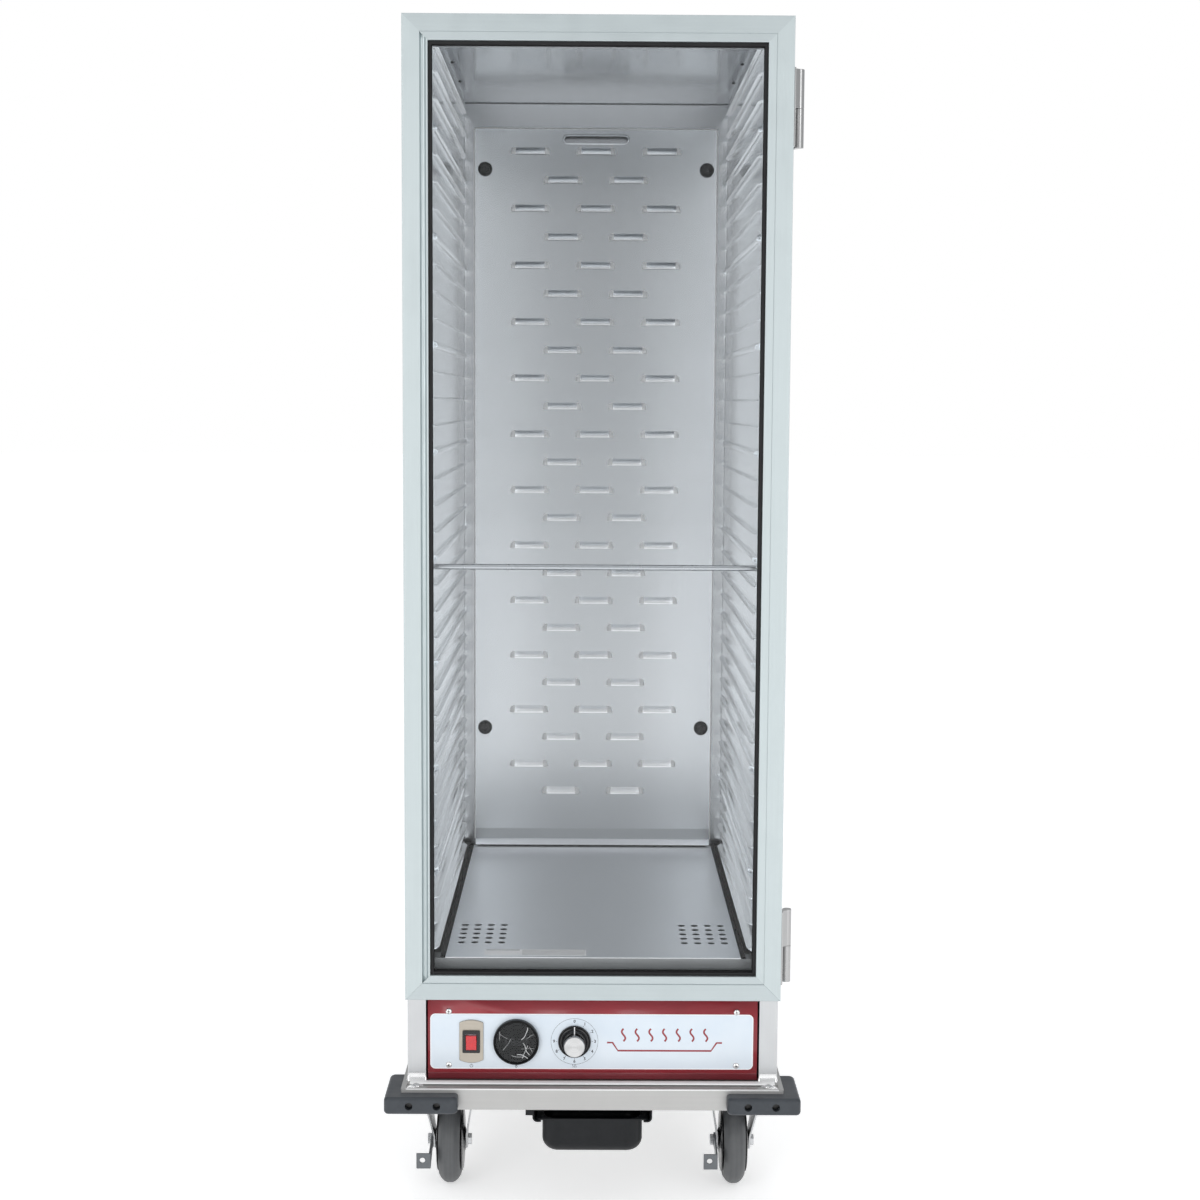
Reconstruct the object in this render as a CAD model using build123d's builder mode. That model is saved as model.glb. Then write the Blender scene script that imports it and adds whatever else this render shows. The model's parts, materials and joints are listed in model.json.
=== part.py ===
"""Food holding cabinet: a tall heated cabinet for 18 x 26 inch pans, on four casters.

Frame: millimetres, +Z up, origin on the floor below the middle of the bounding box.
The door faces -Y and hangs on hinges along the +X edge.
"""
from build123d import *
from math import cos, radians, sin
import os

os.makedirs("parts", exist_ok=True)

# ---------------------------------------------------------------- driving dimensions
overall_depth = 862.0
overall_width = 600.0

# levels above the floor
wheel_radius = 63.5
base_bottom = 153.5
base_top = 184.5
panel_bottom = 186.0
panel_top = 323.0
sill_bottom = 325.0
floor_level = 370.0
ceiling_level = 1694.5
header_bottom = 1667.5
body_top = 1703.5
door_bottom = 317.0
door_top = 1702.0

# plan positions
base_half_width = 277.0
base_front = -408.0
base_back = 408.0
body_half_width = 270.0
body_front = -374.0
body_back = 394.0
liner_half_width = 232.5
liner_front = -372.0
liner_back_y = 364.0
duct_face_y = 346.0
door_front = -411.0
door_back = -379.0

# sheet and section sizes
sheet = 1.2
post_width = 27.0
rail_depth = 30.0
base_rail_width = 50.0
base_wall = 3.0

# pan slides
slide_pitch = 38.1
slide_count = 35
slide_first = floor_level + 6.8
slide_reach = 7.0
slide_length = 716.0
slide_height = 5.0
heavy_slide_height = 12.0
heavy_slide_step = 4

# louvres in the rear duct panel
duct_half_width = 214.0
duct_bottom = 372.0
duct_top = 1650.5
louvre_width = 68.0
louvre_height = 12.0
louvre_reach = 6.0
louvre_row_pitch = 98.8
louvre_column_pitch = 115.4
louvre_rows = 12
louvre_first = 1610.5

# door sections
frame_width = 36.0
door_depth = door_front - door_back
pane_thickness = 6.0
pane_front = -400.0
gasket_lip = 5.0

# hinges
hinge_x = 279.5
hinge_y = -386.0
hinge_length = 107.0
hinge_bottoms = (340.0, 1526.5)
barrel_radius = 6.5
hinge_pin_radius = 3.5

# controls on the front panel
control_level = 244.5
panel_face = -376.0
switch_x = -177.0
thermometer_x = -111.5
knob_x = -26.5

# casters
caster_x = 213.0
caster_y = 321.0
trail = 35.0
running_gap = 0.05
wheel_half_width = 16.0
leg_inner = 23.0
leg_thickness = 3.0
axle_radius = 5.0
kingpin_radius = 6.0
leg_outer = leg_inner + leg_thickness
crown_radius = 37.0
brake_gap = 0.3
brake_sheet = 2.5

# drip tray
tray_front = -402.0
tray_back = -262.0


# ---------------------------------------------------------------- base
gusset = 150.0
bumper_length = 106.0
bumper_thickness = 23.0
bumper_height = 25.0
bumper_hole_insets = (36.0, 76.0)

with BuildPart() as base_frame:
    # C-section rail bent round the four sides, open towards the middle
    with BuildSketch(Plane.XY.offset(base_bottom)):
        Rectangle(2 * base_half_width, base_back - base_front)
        Rectangle(
            2 * (base_half_width - base_rail_width),
            base_back - base_front - 2 * base_rail_width,
            mode=Mode.SUBTRACT,
        )
    extrude(amount=base_top - base_bottom)
    with BuildSketch(Plane.XY.offset(base_bottom + base_wall)):
        Rectangle(2 * (base_half_width - base_wall), base_back - base_front - 2 * base_wall)
    extrude(amount=base_top - base_bottom - 2 * base_wall, mode=Mode.SUBTRACT)
    # corner gussets that the casters bolt to
    with BuildSketch(Plane.XY.offset(base_bottom)):
        for sx in (-1, 1):
            for sy in (-1, 1):
                with Locations((sx * (base_half_width - gusset / 2), sy * (base_back - gusset / 2))):
                    Rectangle(gusset, gusset)
    extrude(amount=base_wall)
    # clearance holes for the bumper screws
    middle = base_bottom + bumper_height / 2
    for sx in (-1, 1):
        for sy in (-1, 1):
            for inset in bumper_hole_insets:
                with Locations(
                    Plane(origin=(sx * (overall_width / 2 - inset), sy * base_back, middle), z_dir=(0, sy, 0)),
                    Plane(origin=(sx * base_half_width, sy * (overall_depth / 2 - inset), middle), z_dir=(sx, 0, 0)),
                ):
                    Cylinder(2.7, 3 * base_wall, mode=Mode.SUBTRACT)
    # drip groove along the front lip
    with Locations((0, base_front + 13, base_top)):
        Box(2 * body_half_width, 20, 3.0, mode=Mode.SUBTRACT)
    fillet(base_frame.edges().filter_by(Axis.Z).group_by(SortBy.LENGTH)[-1], radius=2.0)
base_frame.part.label = "base_frame"
export_step(base_frame.part, "parts/base_frame.step")



def make_bumper(sx, sy):
    """Moulded rubber corner bumper: an L with two counterbored screw holes in each leg."""
    outer_x = sx * overall_width / 2
    outer_y = sy * overall_depth / 2
    with BuildPart() as bumper:
        with BuildSketch(Plane.XY.offset(base_bottom)):
            with Locations((outer_x - sx * bumper_length / 2, outer_y - sy * bumper_thickness / 2)):
                Rectangle(bumper_length, bumper_thickness)
            with Locations((outer_x - sx * bumper_thickness / 2, outer_y - sy * bumper_length / 2)):
                Rectangle(bumper_thickness, bumper_length)
        extrude(amount=bumper_height)
        corner = bumper.edges().filter_by(Axis.Z).sort_by_distance((outer_x, outer_y, base_bottom))[0]
        fillet(corner, radius=7.0)
        tips = bumper.edges().filter_by(Axis.Z).sort_by_distance((outer_x, outer_y, base_bottom))[-4:]
        fillet([tip for tip in tips if is_outer(tip, outer_x, outer_y)], radius=9.0)
        rims = bumper.faces().sort_by(Axis.Z)[-1].edges() + bumper.faces().sort_by(Axis.Z)[0].edges()
        fillet([rim for rim in rims if not on_base(rim)], radius=5.5)
        middle = base_bottom + bumper_height / 2
        front_plane = Plane(origin=(0, outer_y, middle), x_dir=(1, 0, 0), z_dir=(0, sy, 0))
        with Locations(front_plane):
            with Locations((outer_x - sx * 36, 0), (outer_x - sx * 76, 0)):
                CounterBoreHole(radius=2.6, counter_bore_radius=5.5, counter_bore_depth=12)
        side_plane = Plane(origin=(outer_x, 0, middle), x_dir=(0, sx, 0), z_dir=(sx, 0, 0))
        with Locations(side_plane):
            with Locations((sx * (outer_y - sy * 36), 0), (sx * (outer_y - sy * 76), 0)):
                CounterBoreHole(radius=2.6, counter_bore_radius=5.5, counter_bore_depth=12)
    return bumper


def is_outer(edge, outer_x, outer_y):
    """True for the outer vertical corner at the tip of a bumper leg."""
    middle = edge.center()
    return abs(middle.X - outer_x) < 1 or abs(middle.Y - outer_y) < 1


def on_base(edge):
    """True for an edge that lies flat against the base rails."""
    middle = edge.center()
    return abs(middle.X) <= base_half_width + 0.01 and abs(middle.Y) <= base_back + 0.01


bumper_front_left = make_bumper(-1, -1)
bumper_front_left.part.label = "bumper_front_left"
export_step(bumper_front_left.part, "parts/bumper_front_left.step")
bumper_front_right = make_bumper(1, -1)
bumper_front_right.part.label = "bumper_front_right"
export_step(bumper_front_right.part, "parts/bumper_front_right.step")
bumper_rear_left = make_bumper(-1, 1)
bumper_rear_left.part.label = "bumper_rear_left"
export_step(bumper_rear_left.part, "parts/bumper_rear_left.step")
bumper_rear_right = make_bumper(1, 1)
bumper_rear_right.part.label = "bumper_rear_right"
export_step(bumper_rear_right.part, "parts/bumper_rear_right.step")

# button-head screws seated in the bumper counterbores
with BuildPart() as bumper_screws:
    for sx in (-1, 1):
        for sy in (-1, 1):
            for inset in bumper_hole_insets:
                level = base_bottom + bumper_height / 2
                with Locations(
                    Plane(
                        origin=(sx * (overall_width / 2 - inset), sy * (overall_depth / 2 - 12), level),
                        z_dir=(0, sy, 0),
                    ),
                    Plane(
                        origin=(sx * (overall_width / 2 - 12), sy * (overall_depth / 2 - inset), level),
                        z_dir=(sx, 0, 0),
                    ),
                ):
                    Cylinder(4.8, 3.0, align=(Align.CENTER, Align.CENTER, Align.MIN))
                    Cylinder(2.5, 18.0, align=(Align.CENTER, Align.CENTER, Align.MAX))
bumper_screws.part.label = "bumper_screws"
export_step(bumper_screws.part, "parts/bumper_screws.step")

# ---------------------------------------------------------------- casters
plate_thickness = 5.0
plate_bottom = base_bottom - plate_thickness
race_bottom = plate_bottom - 5.0
crown_top = race_bottom - running_gap * 2
crown_bottom = crown_top - 5.0
kingpin_bottom = crown_bottom - 6.0
caster_spots = [(sx * caster_x, sy * caster_y) for sx in (-1, 1) for sy in (-1, 1)]

with BuildPart() as caster_plates:
    for spot in caster_spots:
        with Locations((spot[0], spot[1], plate_bottom)):
            Box(96, 112, plate_thickness, align=(Align.CENTER, Align.CENTER, Align.MIN))
        with Locations((spot[0], spot[1], race_bottom)):
            Cylinder(29, plate_bottom - race_bottom, align=(Align.CENTER, Align.CENTER, Align.MIN))
        with Locations((spot[0], spot[1], kingpin_bottom)):
            Cylinder(kingpin_radius, race_bottom - kingpin_bottom, align=(Align.CENTER, Align.CENTER, Align.MIN))
            Cylinder(11, 5.8, align=(Align.CENTER, Align.CENTER, Align.MIN))
        for bolt_x in (-38, 38):
            for bolt_y in (-46, 46):
                with Locations((spot[0] + bolt_x, spot[1] + bolt_y, plate_bottom - 5)):
                    Cylinder(7, 5.0, align=(Align.CENTER, Align.CENTER, Align.MIN))
caster_plates.part.label = "caster_plates"
export_step(caster_plates.part, "parts/caster_plates.step")


def make_leg(swivel_x, swivel_y, side):
    """Fork leg: a tapered plate that slopes in from the crown and hangs upright at the axle."""
    axle_y = swivel_y + trail
    foot_level = wheel_radius - 11
    knee_level = wheel_radius + 12
    with BuildPart() as leg:
        with BuildSketch(Plane.YZ.offset(swivel_x - crown_radius)):
            with BuildLine():
                Polyline(
                    (swivel_y - 22, crown_top - 1),
                    (swivel_y + 56, crown_top - 1),
                    (axle_y + 13, wheel_radius),
                    (axle_y + 9, foot_level),
                    (axle_y - 9, foot_level),
                    (axle_y - 13, wheel_radius),
                    close=True,
                )
            make_face()
        extrude(amount=2 * crown_radius)
        with BuildSketch(Plane.XZ.offset(-swivel_y + 60)):
            with BuildLine():
                Polyline(
                    (swivel_x + side * crown_radius, crown_top),
                    (swivel_x + side * leg_outer, knee_level),
                    (swivel_x + side * leg_outer, foot_level),
                    (swivel_x + side * leg_inner, foot_level),
                    (swivel_x + side * leg_inner, knee_level),
                    (swivel_x + side * (crown_radius - leg_thickness), crown_top),
                    close=True,
                )
            make_face()
        extrude(amount=-140, mode=Mode.INTERSECT)
    return leg.part


def make_fork(swivel_x, swivel_y, braked):
    """Swivel fork: crown under the race, two sloping legs and the axle bolt with its nut."""
    axle_y = swivel_y + trail
    with BuildPart() as fork:
        with BuildSketch(Plane.XY.offset(crown_bottom)):
            with Locations((swivel_x, swivel_y)):
                Circle(crown_radius)
            with Locations((swivel_x, swivel_y + 24)):
                Rectangle(2 * crown_radius, 64)
        extrude(amount=crown_top - crown_bottom)
        for side in (-1, 1):
            add(make_leg(swivel_x, swivel_y, side))
        with Locations((swivel_x, swivel_y, crown_bottom)):
            Cylinder(
                kingpin_radius + running_gap,
                crown_top - crown_bottom,
                align=(Align.CENTER, Align.CENTER, Align.MIN),
                mode=Mode.SUBTRACT,
            )
        axle_plane = Plane(origin=(swivel_x, axle_y, wheel_radius), z_dir=(1, 0, 0))
        with Locations(axle_plane):
            Cylinder(axle_radius, 2 * leg_outer + 8)
        for side in (-1, 1):
            reach = leg_outer + (brake_sheet + 2 * brake_gap if braked and side < 0 else 0.0)
            head_plane = Plane(origin=(swivel_x + side * reach, axle_y, wheel_radius), z_dir=(side, 0, 0))
            with BuildSketch(head_plane):
                RegularPolygon(9, 6)
            extrude(amount=5.5)
    return fork


def make_wheel(swivel_x, swivel_y):
    """Wheel with a grey rubber tread bonded to its core, bored to run on the axle bolt."""
    axle_y = swivel_y + trail
    with BuildPart() as wheel:
        with BuildSketch(Plane.XY) as section:
            with BuildLine():
                Polyline(
                    (-leg_inner + 0.6, axle_radius + running_gap),
                    (-leg_inner + 0.6, 13),
                    (-7, 15),
                    (-4, 19),
                    (-4, 43),
                    (-12, 46),
                    (-wheel_half_width, 49),
                    (-wheel_half_width, 57),
                    (-12.5, 61.5),
                    (-7, wheel_radius),
                    (7, wheel_radius),
                    (12.5, 61.5),
                    (wheel_half_width, 57),
                    (wheel_half_width, 49),
                    (12, 46),
                    (4, 43),
                    (4, 19),
                    (7, 15),
                    (leg_inner - 0.6, 13),
                    (leg_inner - 0.6, axle_radius + running_gap),
                    close=True,
                )
            make_face()
        revolve(axis=Axis.X)
    return wheel.part.moved(Location((swivel_x, axle_y, wheel_radius)))


def make_brake(swivel_x, swivel_y):
    """Side brake lever: an eye on the axle bolt, a strap running forward and a drilled foot tab."""
    axle_y = swivel_y + trail
    strap_x = swivel_x - leg_outer - brake_gap
    tab_y = swivel_y - 27
    with BuildPart() as brake:
        with BuildSketch(Plane.YZ.offset(strap_x)):
            with Locations((axle_y, wheel_radius)):
                Circle(11)
            with BuildLine():
                Polyline(
                    (axle_y, wheel_radius + 11),
                    (axle_y - 22, wheel_radius + 8),
                    (tab_y, 64),
                    (tab_y, 41),
                    (tab_y + 6, 41),
                    (axle_y - 20, wheel_radius - 8),
                    (axle_y, wheel_radius - 11),
                    close=True,
                )
            make_face()
            with Locations((axle_y, wheel_radius)):
                Circle(axle_radius + running_gap, mode=Mode.SUBTRACT)
        extrude(amount=-brake_sheet)
        with BuildSketch(Plane.XZ.offset(-tab_y)):
            with Locations((strap_x - 10.5, 52.5)):
                Rectangle(21, 23)
            with Locations((strap_x - 12, 53.5)):
                Circle(4.0, mode=Mode.SUBTRACT)
        extrude(amount=-brake_sheet)
    return brake


fork_front_left = make_fork(-caster_x, -caster_y, True)
fork_front_left.part.label = "fork_front_left"
export_step(fork_front_left.part, "parts/fork_front_left.step")
fork_front_right = make_fork(caster_x, -caster_y, True)
fork_front_right.part.label = "fork_front_right"
export_step(fork_front_right.part, "parts/fork_front_right.step")
fork_rear_left = make_fork(-caster_x, caster_y, False)
fork_rear_left.part.label = "fork_rear_left"
export_step(fork_rear_left.part, "parts/fork_rear_left.step")
fork_rear_right = make_fork(caster_x, caster_y, False)
fork_rear_right.part.label = "fork_rear_right"
export_step(fork_rear_right.part, "parts/fork_rear_right.step")

wheel_front_left = make_wheel(-caster_x, -caster_y)
wheel_front_left.label = "wheel_front_left"
export_step(wheel_front_left, "parts/wheel_front_left.step")
wheel_front_right = make_wheel(caster_x, -caster_y)
wheel_front_right.label = "wheel_front_right"
export_step(wheel_front_right, "parts/wheel_front_right.step")
wheel_rear_left = make_wheel(-caster_x, caster_y)
wheel_rear_left.label = "wheel_rear_left"
export_step(wheel_rear_left, "parts/wheel_rear_left.step")
wheel_rear_right = make_wheel(caster_x, caster_y)
wheel_rear_right.label = "wheel_rear_right"
export_step(wheel_rear_right, "parts/wheel_rear_right.step")

brake_lever_left = make_brake(-caster_x, -caster_y)
brake_lever_left.part.label = "brake_lever_left"
export_step(brake_lever_left.part, "parts/brake_lever_left.step")
brake_lever_right = make_brake(caster_x, -caster_y)
brake_lever_right.part.label = "brake_lever_right"
export_step(brake_lever_right.part, "parts/brake_lever_right.step")

# ---------------------------------------------------------------- body posts, rails and skins
tube_wall = 2.0


def make_post(side):
    """Square corner post standing on the base."""
    with BuildPart() as post:
        with BuildSketch(Plane.XY.offset(base_top)):
            with Locations((side * (body_half_width - post_width / 2), body_front + post_width / 2)):
                Rectangle(post_width, post_width)
                Rectangle(post_width - 2 * tube_wall, post_width - 2 * tube_wall, mode=Mode.SUBTRACT)
        extrude(amount=body_top - base_top)
    return post


jamb_left = make_post(-1)
jamb_left.part.label = "jamb_left"
export_step(jamb_left.part, "parts/jamb_left.step")
jamb_right = make_post(1)
jamb_right.part.label = "jamb_right"
export_step(jamb_right.part, "parts/jamb_right.step")

rail_half_length = body_half_width - post_width


def make_rail(bottom, top):
    """Rectangular tube between the posts."""
    with BuildPart() as rail:
        with BuildSketch(Plane.YZ):
            with Locations((body_front + rail_depth / 2, (bottom + top) / 2)):
                Rectangle(rail_depth, top - bottom)
                Rectangle(rail_depth - 2 * tube_wall, top - bottom - 2 * tube_wall, mode=Mode.SUBTRACT)
        extrude(amount=rail_half_length, both=True)
    return rail


header_rail = make_rail(header_bottom, body_top)
header_rail.part.label = "header_rail"
export_step(header_rail.part, "parts/header_rail.step")
sill_rail = make_rail(sill_bottom, floor_level - sheet)
sill_rail.part.label = "sill_rail"
export_step(sill_rail.part, "parts/sill_rail.step")


def make_side(side):
    """Outer side skin behind the corner post."""
    with BuildPart() as skin:
        with BuildSketch(Plane.XY.offset(base_top)):
            with Locations((side * (body_half_width - sheet / 2), (body_front + post_width + body_back) / 2)):
                Rectangle(sheet, body_back - body_front - post_width)
        extrude(amount=body_top - base_top)
    return skin


side_panel_left = make_side(-1)
side_panel_left.part.label = "side_panel_left"
export_step(side_panel_left.part, "parts/side_panel_left.step")
side_panel_right = make_side(1)
side_panel_right.part.label = "side_panel_right"
export_step(side_panel_right.part, "parts/side_panel_right.step")

gland_x = 190.0
gland_level = 236.0
gland_hole = 11.0
with BuildPart() as back_panel:
    with BuildSketch(Plane.XZ.offset(-body_back)):
        with Locations((0, (base_top + body_top) / 2)):
            Rectangle(2 * (body_half_width - sheet), body_top - base_top)
        with Locations((gland_x, gland_level)):
            Circle(gland_hole, mode=Mode.SUBTRACT)
    extrude(amount=sheet)
back_panel.part.label = "back_panel"
export_step(back_panel.part, "parts/back_panel.step")

with BuildPart() as top_panel:
    with BuildSketch(Plane.XY.offset(body_top - sheet)):
        with Locations((0, (body_front + rail_depth + body_back - sheet) / 2)):
            Rectangle(2 * (body_half_width - sheet), body_back - sheet - body_front - rail_depth)
    extrude(amount=sheet)
top_panel.part.label = "top_panel"
export_step(top_panel.part, "parts/top_panel.step")

with BuildPart() as power_gland:
    with BuildSketch(Plane(origin=(gland_x, body_back, gland_level), z_dir=(0, 1, 0))):
        RegularPolygon(16, 6)
    extrude(amount=6)
    with Locations(Plane(origin=(gland_x, body_back - 12, gland_level), z_dir=(0, 1, 0))):
        Cylinder(gland_hole, 30, align=(Align.CENTER, Align.CENTER, Align.MIN))
        Cylinder(5.5, 30, align=(Align.CENTER, Align.CENTER, Align.MIN), mode=Mode.SUBTRACT)
power_gland.part.label = "power_gland"
export_step(power_gland.part, "parts/power_gland.step")

# ---------------------------------------------------------------- liner with pressed pan slides
rib_slope = 0.8


def make_rib(side, height, length, inset):
    """Pressed pan slide; a positive inset gives the hollow behind the sheet."""
    face = side * (liner_half_width + (sheet + 0.1 if inset else 0.0))
    nose = side * (liner_half_width - slide_reach + inset)
    half = height / 2 - inset
    with BuildPart() as rib:
        with BuildSketch(Plane.XZ):
            with BuildLine():
                Polyline(
                    (face, -half),
                    (face, half),
                    (nose, half - rib_slope),
                    (nose, -half + rib_slope),
                    close=True,
                )
            make_face()
        extrude(amount=length / 2 - inset, both=True)
    return rib.part


def slide_spots(heavy):
    """Centres of the light or heavy slides, as (x, y, z) with x left at zero."""
    spots = []
    for index in range(slide_count):
        is_heavy = index % heavy_slide_step == heavy_slide_step - 1
        if is_heavy == heavy:
            spots.append((0, (liner_front + 2 + duct_face_y - 2) / 2, slide_first + index * slide_pitch))
    return spots


def make_liner(side):
    """Inner side wall: sheet, return flange to the post, floor flange and the pan slides."""
    with BuildPart() as liner:
        with BuildSketch(Plane.XY.offset(floor_level - sheet)):
            with Locations((side * (liner_half_width + sheet / 2), (liner_front + liner_back_y) / 2)):
                Rectangle(sheet, liner_back_y - liner_front)
            with Locations((side * (liner_half_width + rail_half_length) / 2, liner_front + sheet / 2)):
                Rectangle(rail_half_length - liner_half_width, sheet)
        extrude(amount=ceiling_level - floor_level + sheet)
        with BuildSketch(Plane.XY.offset(floor_level - 2 * sheet)):
            with Locations((side * (liner_half_width + sheet - 14), (body_front + rail_depth + liner_back_y) / 2)):
                Rectangle(28, liner_back_y - body_front - rail_depth)
        extrude(amount=sheet)
        for heavy, height in ((False, slide_height), (True, heavy_slide_height)):
            with Locations(*slide_spots(heavy)):
                add(make_rib(side, height, slide_length, 0.0))
            with Locations(*slide_spots(heavy)):
                add(make_rib(side, height, slide_length, 1.0), mode=Mode.SUBTRACT)
        # notch for the header rail
        with Locations((side * rail_half_length, body_front + rail_depth, header_bottom)):
            Box(60, 2 * rail_depth, 60, align=(Align.CENTER, Align.CENTER, Align.MIN), mode=Mode.SUBTRACT)
    return liner


liner_left = make_liner(-1)
liner_left.part.label = "liner_left"
export_step(liner_left.part, "parts/liner_left.step")
liner_right = make_liner(1)
liner_right.part.label = "liner_right"
export_step(liner_right.part, "parts/liner_right.step")

with BuildPart() as liner_back:
    with BuildSketch(Plane.XZ.offset(-liner_back_y - sheet)):
        with Locations((0, (floor_level - 2 * sheet + ceiling_level) / 2)):
            Rectangle(2 * (liner_half_width + sheet), ceiling_level - floor_level + 2 * sheet)
    extrude(amount=sheet)
liner_back.part.label = "liner_back"
export_step(liner_back.part, "parts/liner_back.step")

with BuildPart() as liner_top:
    with BuildSketch(Plane.XY.offset(ceiling_level)):
        with Locations((0, (body_front + rail_depth + liner_back_y + sheet) / 2)):
            Rectangle(2 * (liner_half_width + sheet), liner_back_y + sheet - body_front - rail_depth)
    extrude(amount=sheet)
liner_top.part.label = "liner_top"
export_step(liner_top.part, "parts/liner_top.step")

slab_gap = 0.5
slab_bottom = floor_level + 1
side_slab_inner = liner_half_width + sheet + slab_gap
side_slab_outer = body_half_width - sheet - slab_gap
back_slab_front = liner_back_y + sheet + slab_gap
back_slab_rear = body_back - sheet - slab_gap
slab_front = body_front + rail_depth + slab_gap
top_slab_bottom = ceiling_level + sheet + slab_gap
top_slab_top = body_top - sheet - slab_gap
with BuildPart() as insulation:
    for side in (-1, 1):
        with BuildSketch(Plane.XY.offset(slab_bottom)):
            with Locations(
                (side * (side_slab_inner + side_slab_outer) / 2, (slab_front + back_slab_front - 1) / 2)
            ):
                Rectangle(side_slab_outer - side_slab_inner, back_slab_front - 1 - slab_front)
        extrude(amount=top_slab_bottom - 1 - slab_bottom)
    with BuildSketch(Plane.XY.offset(slab_bottom)):
        with Locations((0, (back_slab_front + back_slab_rear) / 2)):
            Rectangle(2 * side_slab_outer, back_slab_rear - back_slab_front)
    extrude(amount=top_slab_bottom - 1 - slab_bottom)
    with BuildSketch(Plane.XY.offset(top_slab_bottom)):
        with Locations((0, (slab_front + back_slab_rear) / 2)):
            Rectangle(2 * side_slab_outer, back_slab_rear - slab_front)
    extrude(amount=top_slab_top - top_slab_bottom)
insulation.part.label = "insulation"
export_step(insulation.part, "parts/insulation.step")

# ---------------------------------------------------------------- rear air duct
foot_rise = 12.5
foot_reach = 6.0
duct_sheet = 1.2


def louvre_spots():
    """Louvre centres: rows of three with rows of two between them."""
    spots = []
    for row in range(louvre_rows):
        level = louvre_first - row * louvre_row_pitch
        for column in (-1, 0, 1):
            spots.append((column * louvre_column_pitch, 0, level))
        for column in (-0.5, 0.5):
            spots.append((column * louvre_column_pitch, 0, level - louvre_row_pitch / 2))
    return spots


with BuildPart() as louvre_hood:
    with BuildSketch(Plane.YZ):
        with BuildLine():
            Polyline(
                (duct_face_y, louvre_height / 2),
                (duct_face_y - louvre_reach, -louvre_height / 2 + 3),
                (duct_face_y - louvre_reach, -louvre_height / 2),
                (duct_face_y, -louvre_height / 2),
                close=True,
            )
        make_face()
    extrude(amount=louvre_width / 2, both=True)

with BuildPart() as louvre_opening:
    with BuildSketch(Plane.YZ):
        with BuildLine():
            Polyline(
                (duct_face_y + duct_sheet + 0.1, louvre_height / 2 - 1),
                (duct_face_y - louvre_reach + 1, -louvre_height / 2 + 3),
                (duct_face_y - louvre_reach + 1, -louvre_height / 2 - 0.1),
                (duct_face_y + duct_sheet + 0.1, -louvre_height / 2 - 0.1),
                close=True,
            )
        make_face()
    extrude(amount=louvre_width / 2 - 1, both=True)

grip_level = 1630.5
stud_x = 194.5
stud_levels = (588.5, 1578.5)
with BuildPart() as duct_panel:
    # top return, face and foot in one bent profile
    with BuildSketch(Plane.YZ):
        with BuildLine():
            Polyline(
                (liner_back_y, duct_top - duct_sheet),
                (liner_back_y, duct_top),
                (duct_face_y, duct_top),
                (duct_face_y, duct_bottom + foot_rise),
                (duct_face_y + foot_reach, duct_bottom),
                (duct_face_y + foot_reach + duct_sheet, duct_bottom),
                (duct_face_y + duct_sheet, duct_bottom + foot_rise),
                (duct_face_y + duct_sheet, duct_top - duct_sheet),
                close=True,
            )
        make_face()
    extrude(amount=duct_half_width, both=True)
    for side in (-1, 1):
        with BuildSketch(Plane.XY.offset(duct_bottom + foot_rise)):
            with Locations((side * (duct_half_width - duct_sheet / 2), (duct_face_y + liner_back_y) / 2)):
                Rectangle(duct_sheet, liner_back_y - duct_face_y)
        extrude(amount=duct_top - duct_bottom - foot_rise)
    with Locations(*louvre_spots()):
        add(louvre_hood.part)
    with Locations(*louvre_spots()):
        add(louvre_opening.part, mode=Mode.SUBTRACT)
    # grip slot with a raised lip
    with BuildSketch(Plane.XZ.offset(-duct_face_y)):
        with Locations((0, grip_level)):
            SlotOverall(116, 16)
    extrude(amount=1.5)
    with BuildSketch(Plane.XZ.offset(-duct_face_y - duct_sheet - 1)):
        with Locations((0, grip_level)):
            SlotOverall(111, 11.3)
    extrude(amount=8, mode=Mode.SUBTRACT)
    with BuildSketch(Plane.XZ.offset(-duct_face_y - duct_sheet - 1)):
        with Locations(*[(side * stud_x, level) for side in (-1, 1) for level in stud_levels]):
            Circle(4.0)
    extrude(amount=8, mode=Mode.SUBTRACT)
duct_panel.part.label = "duct_panel"
export_step(duct_panel.part, "parts/duct_panel.step")

with BuildPart() as duct_studs:
    for side in (-1, 1):
        for level in stud_levels:
            with Locations(Plane(origin=(side * stud_x, duct_face_y, level), z_dir=(0, -1, 0))):
                Cylinder(12.5, 7.0, align=(Align.CENTER, Align.CENTER, Align.MIN))
                Cylinder(4.0, liner_back_y - duct_face_y, align=(Align.CENTER, Align.CENTER, Align.MAX))
duct_studs.part.label = "duct_studs"
export_step(duct_studs.part, "parts/duct_studs.step")

tie_bar_y = -352.0
tie_bar_level = 937.4
with BuildPart() as tie_bar:
    with Locations(Plane(origin=(0, tie_bar_y, tie_bar_level), z_dir=(1, 0, 0))):
        Cylinder(4.0, 2 * liner_half_width)
tie_bar.part.label = "tie_bar"
export_step(tie_bar.part, "parts/tie_bar.step")

# ---------------------------------------------------------------- cavity floor
floor_half_width = 215.0
floor_rear = 356.0
seal_half_width = 222.0
vent_x = 166.5
vent_y = -245.8
vent_radius = 5.5
with BuildPart() as floor_panel:
    with BuildSketch(Plane.XY.offset(floor_level - sheet)):
        with Locations((0, (body_front + floor_rear) / 2)):
            Rectangle(2 * floor_half_width, floor_rear - body_front)
        for side in (-1, 1):
            with Locations((side * vent_x, vent_y)):
                with GridLocations(20, 24.6, 4, 5):
                    Circle(vent_radius, mode=Mode.SUBTRACT)
    extrude(amount=sheet)
floor_panel.part.label = "floor_panel"
export_step(floor_panel.part, "parts/floor_panel.step")

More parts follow.
